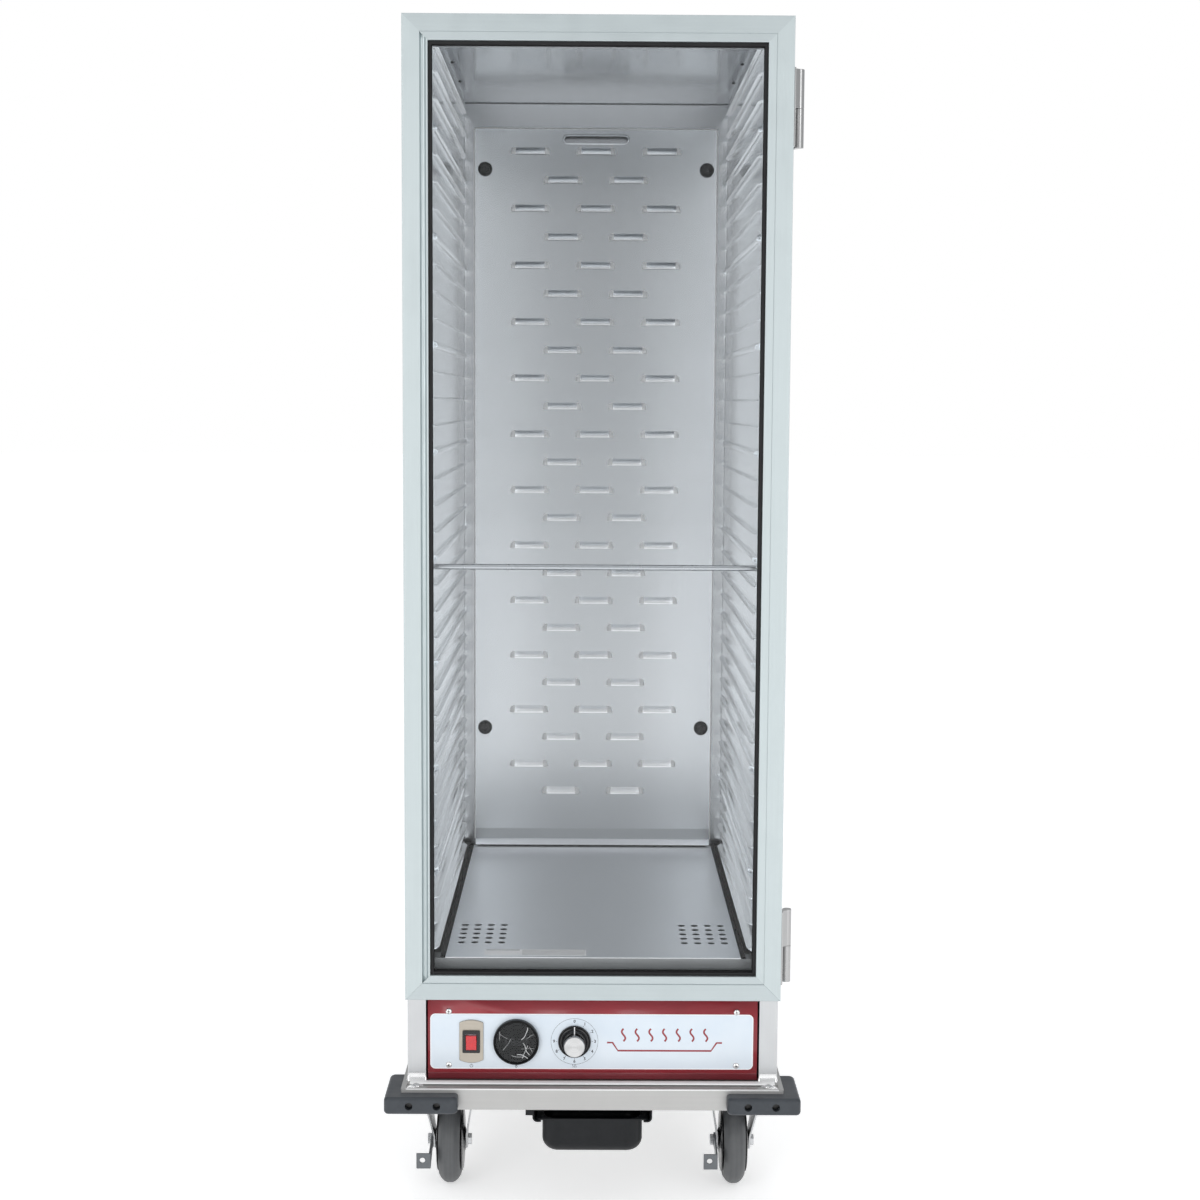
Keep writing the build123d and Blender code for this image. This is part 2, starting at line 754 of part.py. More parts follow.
with BuildPart() as floor_seals:
    for side in (-1, 1):
        with BuildSketch(Plane.XY.offset(floor_level - sheet)):
            with Locations((side * (floor_half_width + seal_half_width) / 2, (body_front + floor_rear) / 2)):
                Rectangle(seal_half_width - floor_half_width, floor_rear - body_front)
        extrude(amount=sheet + 1.5)
        with Locations((side * 226, floor_rear - 4.5, floor_level)):
            Box(12.5, 9, 8, align=(Align.CENTER, Align.CENTER, Align.MIN))
floor_seals.part.label = "floor_seals"
export_step(floor_seals.part, "parts/floor_seals.step")

# ---------------------------------------------------------------- heating module
chassis_half_width = 237.0
chassis_front = -362.0
chassis_back = 330.0
chassis_top = 322.0
with BuildPart() as module_chassis:
    with BuildSketch(Plane.XY.offset(base_top)):
        with Locations((0, (chassis_front + chassis_back) / 2)):
            Rectangle(2 * chassis_half_width, chassis_back - chassis_front)
    extrude(amount=sheet)
    with BuildSketch(Plane.XY.offset(base_top)):
        for side in (-1, 1):
            with Locations((side * (chassis_half_width - sheet / 2), (chassis_front + chassis_back) / 2)):
                Rectangle(sheet, chassis_back - chassis_front)
            with Locations((side * (chassis_half_width - 17), chassis_front + sheet / 2)):
                Rectangle(34, sheet)
        with Locations((0, chassis_back - sheet / 2)):
            Rectangle(2 * chassis_half_width, sheet)
    extrude(amount=chassis_top - base_top)
    with BuildSketch(Plane.XZ.offset(-chassis_front - sheet - 1)):
        with Locations(*[(side * 210, control_level + dz) for side in (-1, 1) for dz in (-35.5, 44.5)]):
            Circle(2.5, mode=Mode.ADD)
    extrude(amount=4, mode=Mode.SUBTRACT)
module_chassis.part.label = "module_chassis"
export_step(module_chassis.part, "parts/module_chassis.step")

heater_radius = 4.0
heater_level = 262.0
heater_half_width = 150.0
heater_front = 150.0
heater_back = 270.0
with BuildPart() as heating_element:
    with BuildLine() as heater_path:
        FilletPolyline(
            (-40, heater_back + 30, heater_level),
            (-40, heater_back, heater_level),
            (-heater_half_width, heater_back, heater_level),
            (-heater_half_width, heater_front, heater_level),
            (heater_half_width, heater_front, heater_level),
            (heater_half_width, heater_back, heater_level),
            (40, heater_back, heater_level),
            (40, heater_back + 30, heater_level),
            radius=18,
        )
    with BuildSketch(Plane(origin=heater_path.line @ 0, z_dir=heater_path.line % 0)):
        Circle(heater_radius)
    sweep()
    # two feet that carry the tube on the chassis floor
    for foot_x in (-90, 90):
        with Locations((foot_x, heater_front, base_top + sheet)):
            Box(12, 3, heater_level - base_top - sheet, align=(Align.CENTER, Align.CENTER, Align.MIN))
heating_element.part.label = "heating_element"
export_step(heating_element.part, "parts/heating_element.step")

motor_x = 60.0
motor_y = -40.0
motor_top = 250.0
shaft_radius = 4.0
with BuildPart() as fan_motor:
    with Locations((motor_x, motor_y, base_top + sheet)):
        Cylinder(48, 4, align=(Align.CENTER, Align.CENTER, Align.MIN))
        Cylinder(38, motor_top - base_top - sheet, align=(Align.CENTER, Align.CENTER, Align.MIN))
        Cylinder(shaft_radius, 112, align=(Align.CENTER, Align.CENTER, Align.MIN))
fan_motor.part.label = "fan_motor"
export_step(fan_motor.part, "parts/fan_motor.step")

blower_radius = 72.0
blower_bottom = motor_top + 6
with BuildPart() as blower_wheel:
    with Locations((motor_x, motor_y, blower_bottom)):
        Cylinder(blower_radius, 2, align=(Align.CENTER, Align.CENTER, Align.MIN))
        Cylinder(12, 34, align=(Align.CENTER, Align.CENTER, Align.MIN))
    with BuildSketch(Plane.XY.offset(blower_bottom)):
        with Locations((motor_x, motor_y)):
            with PolarLocations(blower_radius - 9, 24):
                Rectangle(14, 1.6, rotation=35)
    extrude(amount=38)
    with BuildSketch(Plane.XY.offset(blower_bottom + 36)):
        with Locations((motor_x, motor_y)):
            Circle(blower_radius)
            Circle(blower_radius - 16, mode=Mode.SUBTRACT)
    extrude(amount=2)
    with Locations((motor_x, motor_y, blower_bottom)):
        Cylinder(
            shaft_radius + running_gap,
            40,
            align=(Align.CENTER, Align.CENTER, Align.MIN),
            mode=Mode.SUBTRACT,
        )
blower_wheel.part.label = "blower_wheel"
export_step(blower_wheel.part, "parts/blower_wheel.step")

# ---------------------------------------------------------------- control panel
panel_sheet = 1.5
bevel_rise = 13.0
bevel_reach = 9.0
panel_lip = 10.0
spindle_radius = 3.0
bush_radius = 5.0
with BuildPart() as control_panel:
    with BuildSketch(Plane.YZ):
        with BuildLine():
            Polyline(
                (body_front + panel_lip, panel_top),
                (body_front, panel_top),
                (body_front, panel_bottom + bevel_rise),
                (body_front + bevel_reach, panel_bottom),
                (body_front + bevel_reach + panel_sheet, panel_bottom),
                (body_front + panel_sheet, panel_bottom + bevel_rise),
                (body_front + panel_sheet, panel_top - panel_sheet),
                (body_front + panel_lip, panel_top - panel_sheet),
                close=True,
            )
        make_face()
    extrude(amount=240.4, both=True)
    with BuildSketch(Plane.XZ.offset(-body_front - 5)):
        with Locations(*[(side * 210, control_level + dz) for side in (-1, 1) for dz in (-35.5, 44.5)]):
            Circle(2.5)
        with Locations((knob_x, control_level)):
            Circle(bush_radius)
        with Locations((thermometer_x, control_level)):
            Circle(27)
        with Locations((switch_x, control_level)):
            Rectangle(19, 27)
    extrude(amount=10, mode=Mode.SUBTRACT)
control_panel.part.label = "control_panel"
export_step(control_panel.part, "parts/control_panel.step")

with BuildPart() as panel_screws:
    for side in (-1, 1):
        for dz in (-35.5, 44.5):
            with Locations(Plane(origin=(side * 210, body_front, control_level + dz), z_dir=(0, -1, 0))):
                Cylinder(4.6, 2.6, align=(Align.CENTER, Align.CENTER, Align.MIN))
                Cylinder(2.5, 14.0, align=(Align.CENTER, Align.CENTER, Align.MAX))
panel_screws.part.label = "panel_screws"
export_step(panel_screws.part, "parts/panel_screws.step")

plate_proud = 2.5
plate_width = 35.0
plate_length = 64.4
plate_end_radius = 38.6
with BuildPart() as switch_plate:
    with BuildSketch(Plane.XZ.offset(-body_front)):
        with Locations((switch_x, control_level)):
            Rectangle(plate_width, plate_length)
        for end in (-1, 1):
            with Locations((switch_x, control_level + end * (plate_end_radius - plate_length / 2))):
                Circle(plate_end_radius, mode=Mode.INTERSECT)
        with Locations((switch_x, control_level)):
            Rectangle(19, 27, mode=Mode.SUBTRACT)
    extrude(amount=plate_proud)
switch_plate.part.label = "switch_plate"
export_step(switch_plate.part, "parts/switch_plate.step")

rocker_y = body_front - plate_proud - 1.0
rocker_pin_radius = 1.5
with BuildPart() as switch_body:
    with BuildSketch(Plane.XZ.offset(-body_front + plate_proud)):
        with Locations((switch_x, control_level)):
            RectangleRounded(25.6, 32.9, 1.5)
    extrude(amount=3.0)
    with BuildSketch(Plane.XZ.offset(-body_front + plate_proud)):
        with Locations((switch_x, control_level)):
            Rectangle(19, 27)
    extrude(amount=-24.0)
    with BuildSketch(Plane.XZ.offset(-body_front + plate_proud + 3.0)):
        with Locations((switch_x, control_level)):
            Rectangle(16, 24)
    extrude(amount=-16.0, mode=Mode.SUBTRACT)
    with Locations(Plane(origin=(switch_x, rocker_y, control_level), z_dir=(1, 0, 0))):
        Cylinder(rocker_pin_radius + running_gap, 18.4, mode=Mode.SUBTRACT)
switch_body.part.label = "switch_body"
export_step(switch_body.part, "parts/switch_body.step")

rocker_tilt = 8.0
with BuildPart() as rocker_flat:
    with BuildSketch(Plane.YZ):
        with BuildLine():
            Polyline(
                (-4.5, 11.0),
                (-3.0, 0),
                (-4.5, -11.0),
                (2.5, -9.5),
                (5.0, -3.0),
                (5.0, 3.0),
                (2.5, 9.5),
                close=True,
            )
        make_face()
    extrude(amount=7.5, both=True)
    with Locations(Plane(origin=(0, 0, 0), z_dir=(1, 0, 0))):
        Cylinder(rocker_pin_radius, 18.0)
rocker = rocker_flat.part.moved(
    Location((switch_x, rocker_y, control_level)) * Location((0, 0, 0), (rocker_tilt, 0, 0))
)
rocker.label = "rocker"
export_step(rocker, "parts/rocker.step")

with BuildPart() as thermometer:
    with Locations(Plane(origin=(thermometer_x, body_front, control_level), z_dir=(0, -1, 0))):
        Cylinder(33.5, 8.0, align=(Align.CENTER, Align.CENTER, Align.MIN))
        Cylinder(27.0, 22.0, align=(Align.CENTER, Align.CENTER, Align.MAX))
    with Locations(Plane(origin=(thermometer_x, body_front - 8.0, control_level), z_dir=(0, -1, 0))):
        Cylinder(29.0, 3.0, align=(Align.CENTER, Align.CENTER, Align.MAX), mode=Mode.SUBTRACT)
thermometer.part.label = "thermometer"
export_step(thermometer.part, "parts/thermometer.step")

with BuildPart() as thermostat:
    with Locations(Plane(origin=(knob_x, body_front, control_level), z_dir=(0, 1, 0))):
        Cylinder(bush_radius, 6.0, align=(Align.CENTER, Align.CENTER, Align.MIN))
    with Locations((knob_x, body_front + 24, control_level)):
        Box(46, 36, 46)
    with Locations(Plane(origin=(knob_x, body_front - 1, control_level), z_dir=(0, 1, 0))):
        Cylinder(
            spindle_radius + running_gap,
            24.0,
            align=(Align.CENTER, Align.CENTER, Align.MIN),
            mode=Mode.SUBTRACT,
        )
thermostat.part.label = "thermostat"
export_step(thermostat.part, "parts/thermostat.step")

knob_gap = 0.6
skirt_radius = 24.0
grip_radius = 14.6
cap_radius = 15.2
knob_proud = 28.0
cap_depth = 9.0
with BuildPart() as knob:
    with BuildSketch(Plane.YZ):
        with BuildLine():
            Polyline(
                (20.0, 0),
                (20.0, spindle_radius),
                (-knob_gap, spindle_radius),
                (-knob_gap, skirt_radius),
                (-2.6, skirt_radius),
                (-7.0, cap_radius + 1.5),
                (-9.0, grip_radius),
                (1.5 - knob_proud, grip_radius),
                (1.5 - knob_proud, 0),
                close=True,
            )
        make_face()
    revolve(axis=Axis.Y)
knob = knob.part.moved(Location((knob_x, body_front, control_level)))
knob.label = "knob"
export_step(knob, "parts/knob.step")

with BuildPart() as knob_cap:
    with Locations(Plane(origin=(knob_x, body_front - knob_proud, control_level), z_dir=(0, -1, 0))):
        Cylinder(cap_radius, cap_depth, align=(Align.CENTER, Align.CENTER, Align.MAX))
    fillet(knob_cap.faces().sort_by(Axis.Y)[0].edges(), radius=1.2)
    with Locations(Plane(origin=(knob_x, body_front - knob_proud + 1.5, control_level), z_dir=(0, -1, 0))):
        Cylinder(grip_radius, cap_depth, align=(Align.CENTER, Align.CENTER, Align.MAX), mode=Mode.SUBTRACT)
knob_cap.part.label = "knob_cap"
export_step(knob_cap.part, "parts/knob_cap.step")

# ---------------------------------------------------------------- hinges
leaf = 2.5
half_knuckle = hinge_length / 2 - 0.3


def leaf_bridge(points, bottom, height):
    """One knuckle bridge, drawn in plan and raised by its height."""
    with BuildPart() as bridge:
        with BuildSketch(Plane.XY.offset(bottom)):
            with BuildLine():
                Polyline(*points, close=True)
            make_face()
        extrude(amount=height)
    return bridge.part


with BuildPart() as hinge_leaves_body:
    for bottom in hinge_bottoms:
        with Locations((body_half_width + leaf / 2, body_front + 12.5, bottom)):
            Box(leaf, 25, hinge_length, align=(Align.CENTER, Align.CENTER, Align.MIN))
        body_bridge = (
            (275.0, -381.0),
            (281.0, -380.2),
            (body_half_width + leaf, -366.0),
            (body_half_width, -366.0),
            (body_half_width, body_front),
        )
        add(leaf_bridge(body_bridge, bottom, half_knuckle))
        with Locations((hinge_x, hinge_y, bottom)):
            Cylinder(barrel_radius, half_knuckle, align=(Align.CENTER, Align.CENTER, Align.MIN))
            Cylinder(hinge_pin_radius, hinge_length - 4, align=(Align.CENTER, Align.CENTER, Align.MIN))
hinge_leaves_body.part.label = "hinge_leaves_body"
export_step(hinge_leaves_body.part, "parts/hinge_leaves_body.step")

with BuildPart() as hinge_leaves_door:
    for bottom in hinge_bottoms:
        upper = bottom + hinge_length / 2
        with Locations((body_half_width + leaf / 2, -398, bottom)):
            Box(leaf, 20, hinge_length, align=(Align.CENTER, Align.CENTER, Align.MIN))
        door_bridge = (
            (body_half_width, -398.0),
            (body_half_width + leaf, -398.0),
            (hinge_x, hinge_y - barrel_radius),
            (hinge_x - 5.0, hinge_y - 1.0),
            (body_half_width + leaf, -388.0),
            (body_half_width, -388.0),
        )
        add(leaf_bridge(door_bridge, upper, hinge_length / 2))
        with Locations((hinge_x, hinge_y, upper)):
            Cylinder(barrel_radius, hinge_length / 2, align=(Align.CENTER, Align.CENTER, Align.MIN))
        with Locations((hinge_x, hinge_y, upper)):
            Cylinder(
                hinge_pin_radius + running_gap,
                hinge_length / 2 - 3.5,
                align=(Align.CENTER, Align.CENTER, Align.MIN),
                mode=Mode.SUBTRACT,
            )
hinge_leaves_door.part.label = "hinge_leaves_door"
export_step(hinge_leaves_door.part, "parts/hinge_leaves_door.step")

# ---------------------------------------------------------------- door
door_thickness = door_back - door_front
door_middle_y = (door_front + door_back) / 2
door_height = door_top - door_bottom
door_centre = (door_top + door_bottom) / 2
pocket_depth = 10.0
pocket_front = -403.0
pocket_back = -391.0
pull_inset = 29.0


def frame_section(pull):
    """Hollow frame section: outer edge at u = 0, glazed edge at u = frame_width."""
    RectangleRounded(frame_width, door_thickness, 1.0)
    # hollow behind the face
    with Locations((-5.0, 2.0)):
        Rectangle(frame_width - 16, door_thickness - 10, mode=Mode.SUBTRACT)
    # glazing pocket
    with Locations((frame_width / 2 - pocket_depth / 2 + 0.5, (pocket_front + pocket_back) / 2 - door_middle_y)):
        Rectangle(pocket_depth + 1, pocket_back - pocket_front, mode=Mode.SUBTRACT)
    if pull:
        with Locations((pull_inset - frame_width / 2, -door_thickness / 2 + 2.2)):
            Circle(4.4, mode=Mode.SUBTRACT)
        with Locations((pull_inset - frame_width / 2, -door_thickness / 2)):
            Rectangle(8.8, 4.4, mode=Mode.SUBTRACT)
    else:
        # shadow line between the flat and the bead
        with Locations((24.5 - frame_width / 2, -door_thickness / 2)):
            Rectangle(1.0, 2.0, mode=Mode.SUBTRACT)


def mitre(side_x, side_z):
    """Trapezoid block that trims one frame member to its mitred ends."""
    far_x = body_half_width
    near_x = body_half_width - frame_width
    if side_x:
        points = (
            (side_x * far_x, door_bottom),
            (side_x * far_x, door_top),
            (side_x * near_x, door_top - frame_width),
            (side_x * near_x, door_bottom + frame_width),
        )
    else:
        outer = door_top if side_z > 0 else door_bottom
        inner = outer - side_z * frame_width
        points = ((-far_x, outer), (far_x, outer), (near_x, inner), (-near_x, inner))
    with BuildPart() as block:
        with BuildSketch(Plane.XZ.offset(-door_back - 2)):
            with BuildLine():
                Polyline(*points, close=True)
            make_face()
        extrude(amount=door_thickness + 4)
    return block.part


def make_stile(side, pull):
    """Upright frame member; the section is drawn with its outer edge away from the glass."""
    origin = (side * (body_half_width - frame_width / 2), door_middle_y, door_bottom)
    with BuildPart() as stile:
        with BuildSketch(Plane.XY) as section:
            frame_section(pull)
            if side > 0:
                mirror(about=Plane.YZ, mode=Mode.REPLACE)
        extrude(amount=door_height)
    placed = stile.part.moved(Location(origin))
    with BuildPart() as member:
        add(placed)
        add(mitre(side, 0), mode=Mode.INTERSECT)
    return member


def make_door_rail(side):
    """Cross frame member at the top (side 1) or bottom (side -1)."""
    level = door_top - frame_width / 2 if side > 0 else door_bottom + frame_width / 2
    turn = 90 if side > 0 else -90
    with BuildPart() as rail:
        with BuildSketch(Plane.XY):
            frame_section(False)
        extrude(amount=body_half_width, both=True)
    placed = rail.part.moved(Location((0, door_middle_y, level)) * Location((0, 0, 0), (0, turn, 0)))
    with BuildPart() as member:
        add(placed)
        add(mitre(0, side), mode=Mode.INTERSECT)
    return member


stile_left = make_stile(-1, True)
stile_left.part.label = "stile_left"
export_step(stile_left.part, "parts/stile_left.step")
stile_right = make_stile(1, False)
stile_right.part.label = "stile_right"
export_step(stile_right.part, "parts/stile_right.step")
rail_top = make_door_rail(1)
rail_top.part.label = "rail_top"
export_step(rail_top.part, "parts/rail_top.step")
rail_bottom = make_door_rail(-1)
rail_bottom.part.label = "rail_bottom"
export_step(rail_bottom.part, "parts/rail_bottom.step")

pane_half_width = body_half_width - frame_width + pocket_depth - 3
pane_height = door_height - 2 * (frame_width - pocket_depth + 3)
with BuildPart() as door_pane:
    with BuildSketch(Plane.XZ.offset(-pane_front - pane_thickness)):
        with Locations((0, door_centre)):
            Rectangle(2 * pane_half_width, pane_height)
    extrude(amount=pane_thickness)
door_pane.part.label = "door_pane"
export_step(door_pane.part, "parts/door_pane.step")

clear_width = 2 * (body_half_width - frame_width)
clear_height = door_height - 2 * frame_width
with BuildPart() as pane_gasket:
    with BuildSketch(Plane.XZ.offset(-pocket_back)):
        with Locations((0, door_centre)):
            Rectangle(clear_width + 2 * pocket_depth, clear_height + 2 * pocket_depth)
            Rectangle(clear_width - 2 * gasket_lip, clear_height - 2 * gasket_lip, mode=Mode.SUBTRACT)
    extrude(amount=pocket_back - pocket_front)
    with BuildSketch(Plane.XZ.offset(-pocket_front)):
        with Locations((0, door_centre)):
            Rectangle(clear_width, clear_height)
            Rectangle(clear_width - 2 * gasket_lip, clear_height - 2 * gasket_lip, mode=Mode.SUBTRACT)
    extrude(amount=3.0)
    with BuildSketch(Plane.XZ.offset(-pane_front - pane_thickness)):
        with Locations((0, door_centre)):
            Rectangle(2 * pane_half_width, pane_height)
    extrude(amount=pane_thickness, mode=Mode.SUBTRACT)
pane_gasket.part.label = "pane_gasket"
export_step(pane_gasket.part, "parts/pane_gasket.step")

seal_outer = 16.0
seal_width = 15.0
with BuildPart() as door_seal:
    with BuildSketch(Plane.XZ.offset(-door_back)):
        with Locations((0, door_centre)):
            Rectangle(2 * (body_half_width - 8), door_height - seal_outer)
            Rectangle(2 * (body_half_width - 8 - seal_width), door_height - seal_outer - 2 * seal_width, mode=Mode.SUBTRACT)
    extrude(amount=-(body_front - door_back - 0.3))
door_seal.part.label = "door_seal"
export_step(door_seal.part, "parts/door_seal.step")

# ---------------------------------------------------------------- drip tray
tray_half_width = 73.0
tray_bottom = 85.0
tray_flange_level = 135.4
tray_corner_radius = 18.0
rail_half_span = 87.0
rail_foot_level = 133.0
rail_sheet = 2.0
rail_foot = 12.5
flange_clearance = 6.0
ledge_span = 10.0
ledge_drop = 8.5
tray_middle = (tray_front + tray_back) / 2
rail_length = tray_back - tray_front
with BuildPart() as tray_rails:
    # top plate, longer on the left, where it turns down along its edge
    with Locations((-ledge_span / 2, tray_middle, base_bottom - rail_sheet)):
        Box(2 * rail_half_span + ledge_span, rail_length, rail_sheet, align=(Align.CENTER, Align.CENTER, Align.MIN))
    with Locations((-rail_half_span - ledge_span / 2, tray_middle, base_bottom - rail_sheet - ledge_drop)):
        Box(ledge_span, rail_length, ledge_drop, align=(Align.CENTER, Align.CENTER, Align.MIN))
    # a channel each side, with a rounded lower corner, carries the tray flange
    for side in (-1, 1):
        with BuildSketch(Plane.XZ.offset(-tray_front)):
            with BuildLine():
                FilletPolyline(
                    (side * (rail_half_span - rail_sheet / 2), base_bottom - rail_sheet),
                    (side * (rail_half_span - rail_sheet / 2), rail_foot_level + rail_sheet / 2),
                    (side * (rail_half_span - rail_foot), rail_foot_level + rail_sheet / 2),
                    radius=6.0,
                )
            trace(line_width=rail_sheet)
        extrude(amount=-rail_length)
tray_rails.part.label = "tray_rails"
export_step(tray_rails.part, "parts/tray_rails.step")

tray_length = 130.0
tray_wall = 2.0


def tub(inset, height):
    """Rounded tub body; the inset form is its hollow."""
    with BuildPart() as body:
        with BuildSketch(Plane.XY.offset(tray_bottom + inset)):
            with Locations((0, tray_front + 2 + tray_length / 2)):
                RectangleRounded(2 * (tray_half_width - inset), tray_length - 2 * inset, 24 - inset)
        extrude(amount=height)
        fillet(body.faces().sort_by(Axis.Z)[0].edges(), radius=tray_corner_radius - inset)
    return body.part


with BuildPart() as drip_tray:
    add(tub(0, tray_flange_level - tray_bottom))
    with BuildSketch(Plane.XY.offset(tray_flange_level)):
        with Locations((0, tray_front + 2 + tray_length / 2)):
            RectangleRounded(2 * (rail_half_span - flange_clearance), tray_length, 6)
    extrude(amount=tray_wall)
    add(tub(tray_wall, tray_flange_level - tray_bottom + 1), mode=Mode.SUBTRACT)
drip_tray.part.label = "drip_tray"
export_step(drip_tray.part, "parts/drip_tray.step")
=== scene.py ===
"""Looks of the food holding cabinet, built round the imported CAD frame. Metres, +Z up, door towards -Y."""

import json
import math
import random

import bmesh
import bpy
from mathutils import Matrix, Vector
from mathutils.geometry import tessellate_polygon

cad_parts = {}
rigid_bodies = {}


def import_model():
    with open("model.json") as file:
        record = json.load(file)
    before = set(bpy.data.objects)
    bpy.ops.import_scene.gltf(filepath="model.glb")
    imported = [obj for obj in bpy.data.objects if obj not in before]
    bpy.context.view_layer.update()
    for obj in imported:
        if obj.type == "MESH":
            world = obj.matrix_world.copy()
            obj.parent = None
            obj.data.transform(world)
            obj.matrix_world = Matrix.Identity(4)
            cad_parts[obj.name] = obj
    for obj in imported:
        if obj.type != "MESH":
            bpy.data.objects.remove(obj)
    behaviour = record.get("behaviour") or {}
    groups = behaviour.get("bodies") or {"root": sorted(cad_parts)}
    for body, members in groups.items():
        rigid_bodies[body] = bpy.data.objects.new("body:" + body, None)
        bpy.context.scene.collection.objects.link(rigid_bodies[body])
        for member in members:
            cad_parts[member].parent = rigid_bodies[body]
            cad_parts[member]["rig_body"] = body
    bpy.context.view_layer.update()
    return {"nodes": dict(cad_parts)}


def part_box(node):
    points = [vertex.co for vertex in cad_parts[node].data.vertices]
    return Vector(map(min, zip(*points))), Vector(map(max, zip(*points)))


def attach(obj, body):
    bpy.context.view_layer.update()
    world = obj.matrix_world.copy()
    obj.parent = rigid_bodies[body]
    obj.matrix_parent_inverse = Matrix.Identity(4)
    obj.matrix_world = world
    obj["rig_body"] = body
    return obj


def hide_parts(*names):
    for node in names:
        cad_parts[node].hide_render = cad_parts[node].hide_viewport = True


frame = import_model()

MM = 0.001


# ---------------------------------------------------------------- shaders
class Finish:
    """One Principled material and the few node patterns that the finishes share."""

    def __init__(self, name, colour, roughness, metallic=0.0, **sockets):
        self.material = bpy.data.materials.new(name)
        self.material.use_nodes = True
        self.nodes = self.material.node_tree.nodes
        self.links = self.material.node_tree.links
        self.bsdf = self.nodes["Principled BSDF"]
        self.colour = colour
        self.bsdf.inputs["Base Color"].default_value = (*colour, 1.0)
        self.bsdf.inputs["Roughness"].default_value = roughness
        self.bsdf.inputs["Metallic"].default_value = metallic
        for label, value in sockets.items():
            self.bsdf.inputs[label.replace("_", " ")].default_value = value
        self.place = self.nodes.new("ShaderNodeTexCoord")
        self.normal = None

    def pattern(self, kind, scale, stretch=(1, 1, 1)):
        """A texture node laid out in object space."""
        mapping = self.nodes.new("ShaderNodeMapping")
        mapping.inputs["Scale"].default_value = [scale * s for s in stretch]
        self.links.new(self.place.outputs["Object"], mapping.inputs["Vector"])
        texture = self.nodes.new(kind)
        texture.inputs["Scale"].default_value = 1.0
        self.links.new(mapping.outputs["Vector"], texture.inputs["Vector"])
        return texture

    def noise(self, scale, stretch=(1, 1, 1), detail=4.0, roughness=0.55, distortion=0.0):
        """Noise in object space; a small stretch along an axis makes long streaks along it."""
        texture = self.pattern("ShaderNodeTexNoise", scale, stretch)
        texture.inputs["Detail"].default_value = detail
        texture.inputs["Roughness"].default_value = roughness
        texture.inputs["Distortion"].default_value = distortion
        return texture.outputs["Fac"]

    def cells(self, scale):
        """Distance to the edges of small cells."""
        texture = self.pattern("ShaderNodeTexVoronoi", scale)
        texture.feature = "DISTANCE_TO_EDGE"
        return texture.outputs["Distance"]

    def axis(self, name):
        """One object coordinate, in metres."""
        split = self.nodes.new("ShaderNodeSeparateXYZ")
        self.links.new(self.place.outputs["Object"], split.inputs[0])
        return split.outputs["XYZ".index(name)]

    def maths(self, kind, operation, value, operand=None):
        node = self.nodes.new(kind)
        node.operation = operation
        self.links.new(value, node.inputs[0])
        if operand:
            node.inputs[1].default_value = operand
        return node.outputs["Value" if operation in ("LENGTH", "ABSOLUTE") else "Vector"]

    def spread(self, value, low, high, start=0.25, end=0.75):
        """Maps a pattern's middle range to low..high, easing out at both ends."""
        node = self.nodes.new("ShaderNodeMapRange")
        node.interpolation_type = "SMOOTHSTEP"
        node.inputs["From Min"].default_value = start
        node.inputs["From Max"].default_value = end
        node.inputs["To Min"].default_value = low
        node.inputs["To Max"].default_value = high
        self.links.new(value, node.inputs["Value"])
        return node.outputs["Result"]

    def tint(self, pattern, other, amount=1.0):
        """Mixes the colour with another one by a pattern."""
        mix = self.nodes.new("ShaderNodeMix")
        mix.data_type = "RGBA"
        source = self.bsdf.inputs["Base Color"]
        if source.is_linked:
            self.links.new(source.links[0].from_socket, mix.inputs["A"])
        else:
            mix.inputs["A"].default_value = (*self.colour, 1.0)
        mix.inputs["B"].default_value = (*other, 1.0)
        self.links.new(self.spread(pattern, 0.0, amount), mix.inputs["Factor"])
        self.links.new(mix.outputs["Result"], source)
        return self

    def rough(self, pattern, low, high):
        self.links.new(self.spread(pattern, low, high), self.bsdf.inputs["Roughness"])
        return self

    def bump(self, pattern, strength, distance=0.0002):
        node = self.nodes.new("ShaderNodeBump")
        node.inputs["Strength"].default_value = strength
        node.inputs["Distance"].default_value = distance
        self.links.new(pattern, node.inputs["Height"])
        if self.normal:
            self.links.new(self.normal, node.inputs["Normal"])
        self.normal = node.outputs["Normal"]
        self.links.new(self.normal, self.bsdf.inputs["Normal"])
        return self


def shaded(colour, factor):
    return tuple(factor * c for c in colour)


def sheet_metal(name, colour, roughness, grain, dark=0.86, wave=0.25):
    """Rolled or brushed aluminium sheet: fine streaks along the grain, soft mottling, faint buckling."""
    stretch = [0.02 if axis == grain else 1.0 for axis in "XYZ"]
    metal = Finish(name, colour, roughness, 1.0)
    streaks = metal.noise(260, stretch, 2.0)
    mottle = metal.noise(24, detail=3.0)
    drift = metal.noise(3.2, detail=2.0)
    metal.tint(streaks, shaded(colour, dark), 0.75).tint(mottle, shaded(colour, 0.97), 0.5)
    metal.tint(drift, shaded(colour, 0.97), 0.6)
    metal.rough(drift, roughness - 0.004, roughness + 0.008)
    metal.bump(metal.noise(2.6, detail=1.0), wave, 0.003)
    return metal.material


def satin_metal(name, colour, roughness, metallic=1.0, grain="Z"):
    """Extruded, anodised or plated metal: a very fine grain and slight handling marks."""
    stretch = [0.02 if axis == grain else 1.0 for axis in "XYZ"]
    metal = Finish(name, colour, roughness, metallic)
    grain_lines = metal.noise(420, stretch, 2.0)
    marks = metal.noise(22, detail=4.0)
    metal.tint(grain_lines, shaded(colour, 0.93), 0.5).tint(marks, shaded(colour, 0.95), 0.6)
    metal.rough(marks, roughness - 0.04, roughness + 0.06)
    return metal.material


